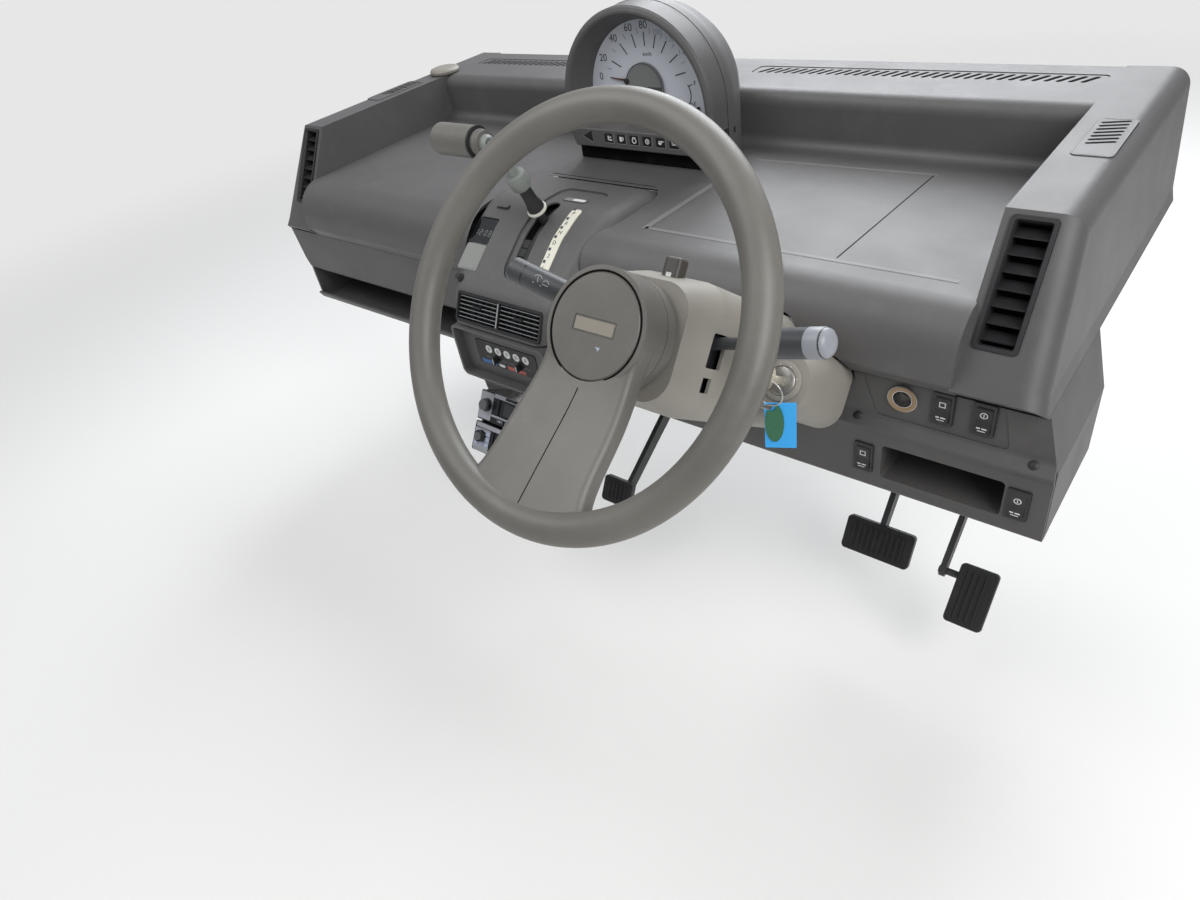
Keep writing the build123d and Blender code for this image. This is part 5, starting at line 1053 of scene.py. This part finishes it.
def add_slots():
    """Painted shade in the slots, one thin dark inlay in each, and painted highlights on the demisters'
    edges.
    """
    long, wide = GRILLE["size"]
    inlays = []
    for side in (-1, 1):
        for k in range(GRILLE["slots"]):
            x = side * GRILLE["x"] + (k - (GRILLE["slots"] - 1) / 2) * GRILLE["pitch"]
            inlays.append(rounded(x, GRILLE["y"], long, wide, 3.4, GRILLE["turn"]))
    add_plates("grille_slot_shade", shelf_face(LEDGE_Z - 1.6), inlays, "black_seam_and_shade", thickness=0.4)
    long, wide = DEMISTER["size"]
    inlays = []
    for side in (-1, 1):
        for k in range(DEMISTER["slots"]):
            y = DEMISTER["y"] + (k - (DEMISTER["slots"] - 1) / 2) * DEMISTER["pitch"]
            inlays.append(rounded(side * DEMISTER["x"], y, long, wide, 2.6, DEMISTER["turn"]))
    add_plates("demister_slot_shade", shelf_face(LEDGE_Z + 0.4), inlays, "black_seam_and_shade", thickness=0.4)
    # Painted highlights along the demisters' edges
    edges = []
    for side in (-1, 1):
        x = side * DEMISTER["x"]
        edges += [block(x + dx, EDGE_Y, 1.2, 100) for dx in (-20, 20)]
        edges += [block(x, EDGE_Y + dy, 28, 1.2) for dy in (-56.5, 56.5)]
    add_plates("demister_edge_highlights", shelf_face(LEDGE_Z + 1), edges, "painted_highlight_grey", thickness=0.3)


# Side vents on the pods' sloping fronts: y and z at both ends of the slope, and the vents' x
POD_SLOPE = ((-61, 227), (-160, 72))
SIDE_VENT_X = 610


def add_vent_depths():
    """Painted shade in the side vents: a dark plate deep in each."""
    for side, name in ((-1, "left"), (1, "right")):
        face = console_face(side * SIDE_VENT_X, 71, *POD_SLOPE)
        depth = [rounded(0, 0, 31, 119, 2)]
        add_plates("vent_shade_" + name, face, depth, "black_seam_and_shade", lift=-25, thickness=0.6)


# Pedal pads: middle, width, length and lean from upright, as in the part's source
PEDAL_PADS = {
    "brake": ((480, -48, -300), 100, 52, 30),
    "accelerator": ((622, -70, -315), 50, 84, 42),
    "parking_brake": ((81, -156.4, -290), 60, 44, 30),
}
RIB_PITCH = 8
RIB_MARGIN = 14


def add_pedals():
    """Ribbed rubber on the pads."""
    for body, (middle, width, length, lean) in PEDAL_PADS.items():
        facing = (0, -cos(radians(lean)), sin(radians(lean)))
        face = Face(middle, ACROSS, facing)
        pad = [rounded(0, 0, width - 3, length - 3, 6)]
        add_plates(body + "_rubber", face, pad, "rubber", body, thickness=2)
        count = int((width - RIB_MARGIN) / RIB_PITCH)
        first = (count - 1) / 2
        ribs = [rounded((k - first) * RIB_PITCH, 0, 4, length - RIB_MARGIN, 1.8) for k in range(count)]
        add_plates(body + "_ribs", face, ribs, "rubber", body, lift=2, thickness=1.6)


add_wheel()
add_stalks()
add_lock()
add_panels()
add_shelf()
add_slots()
add_vent_depths()
add_pedals()
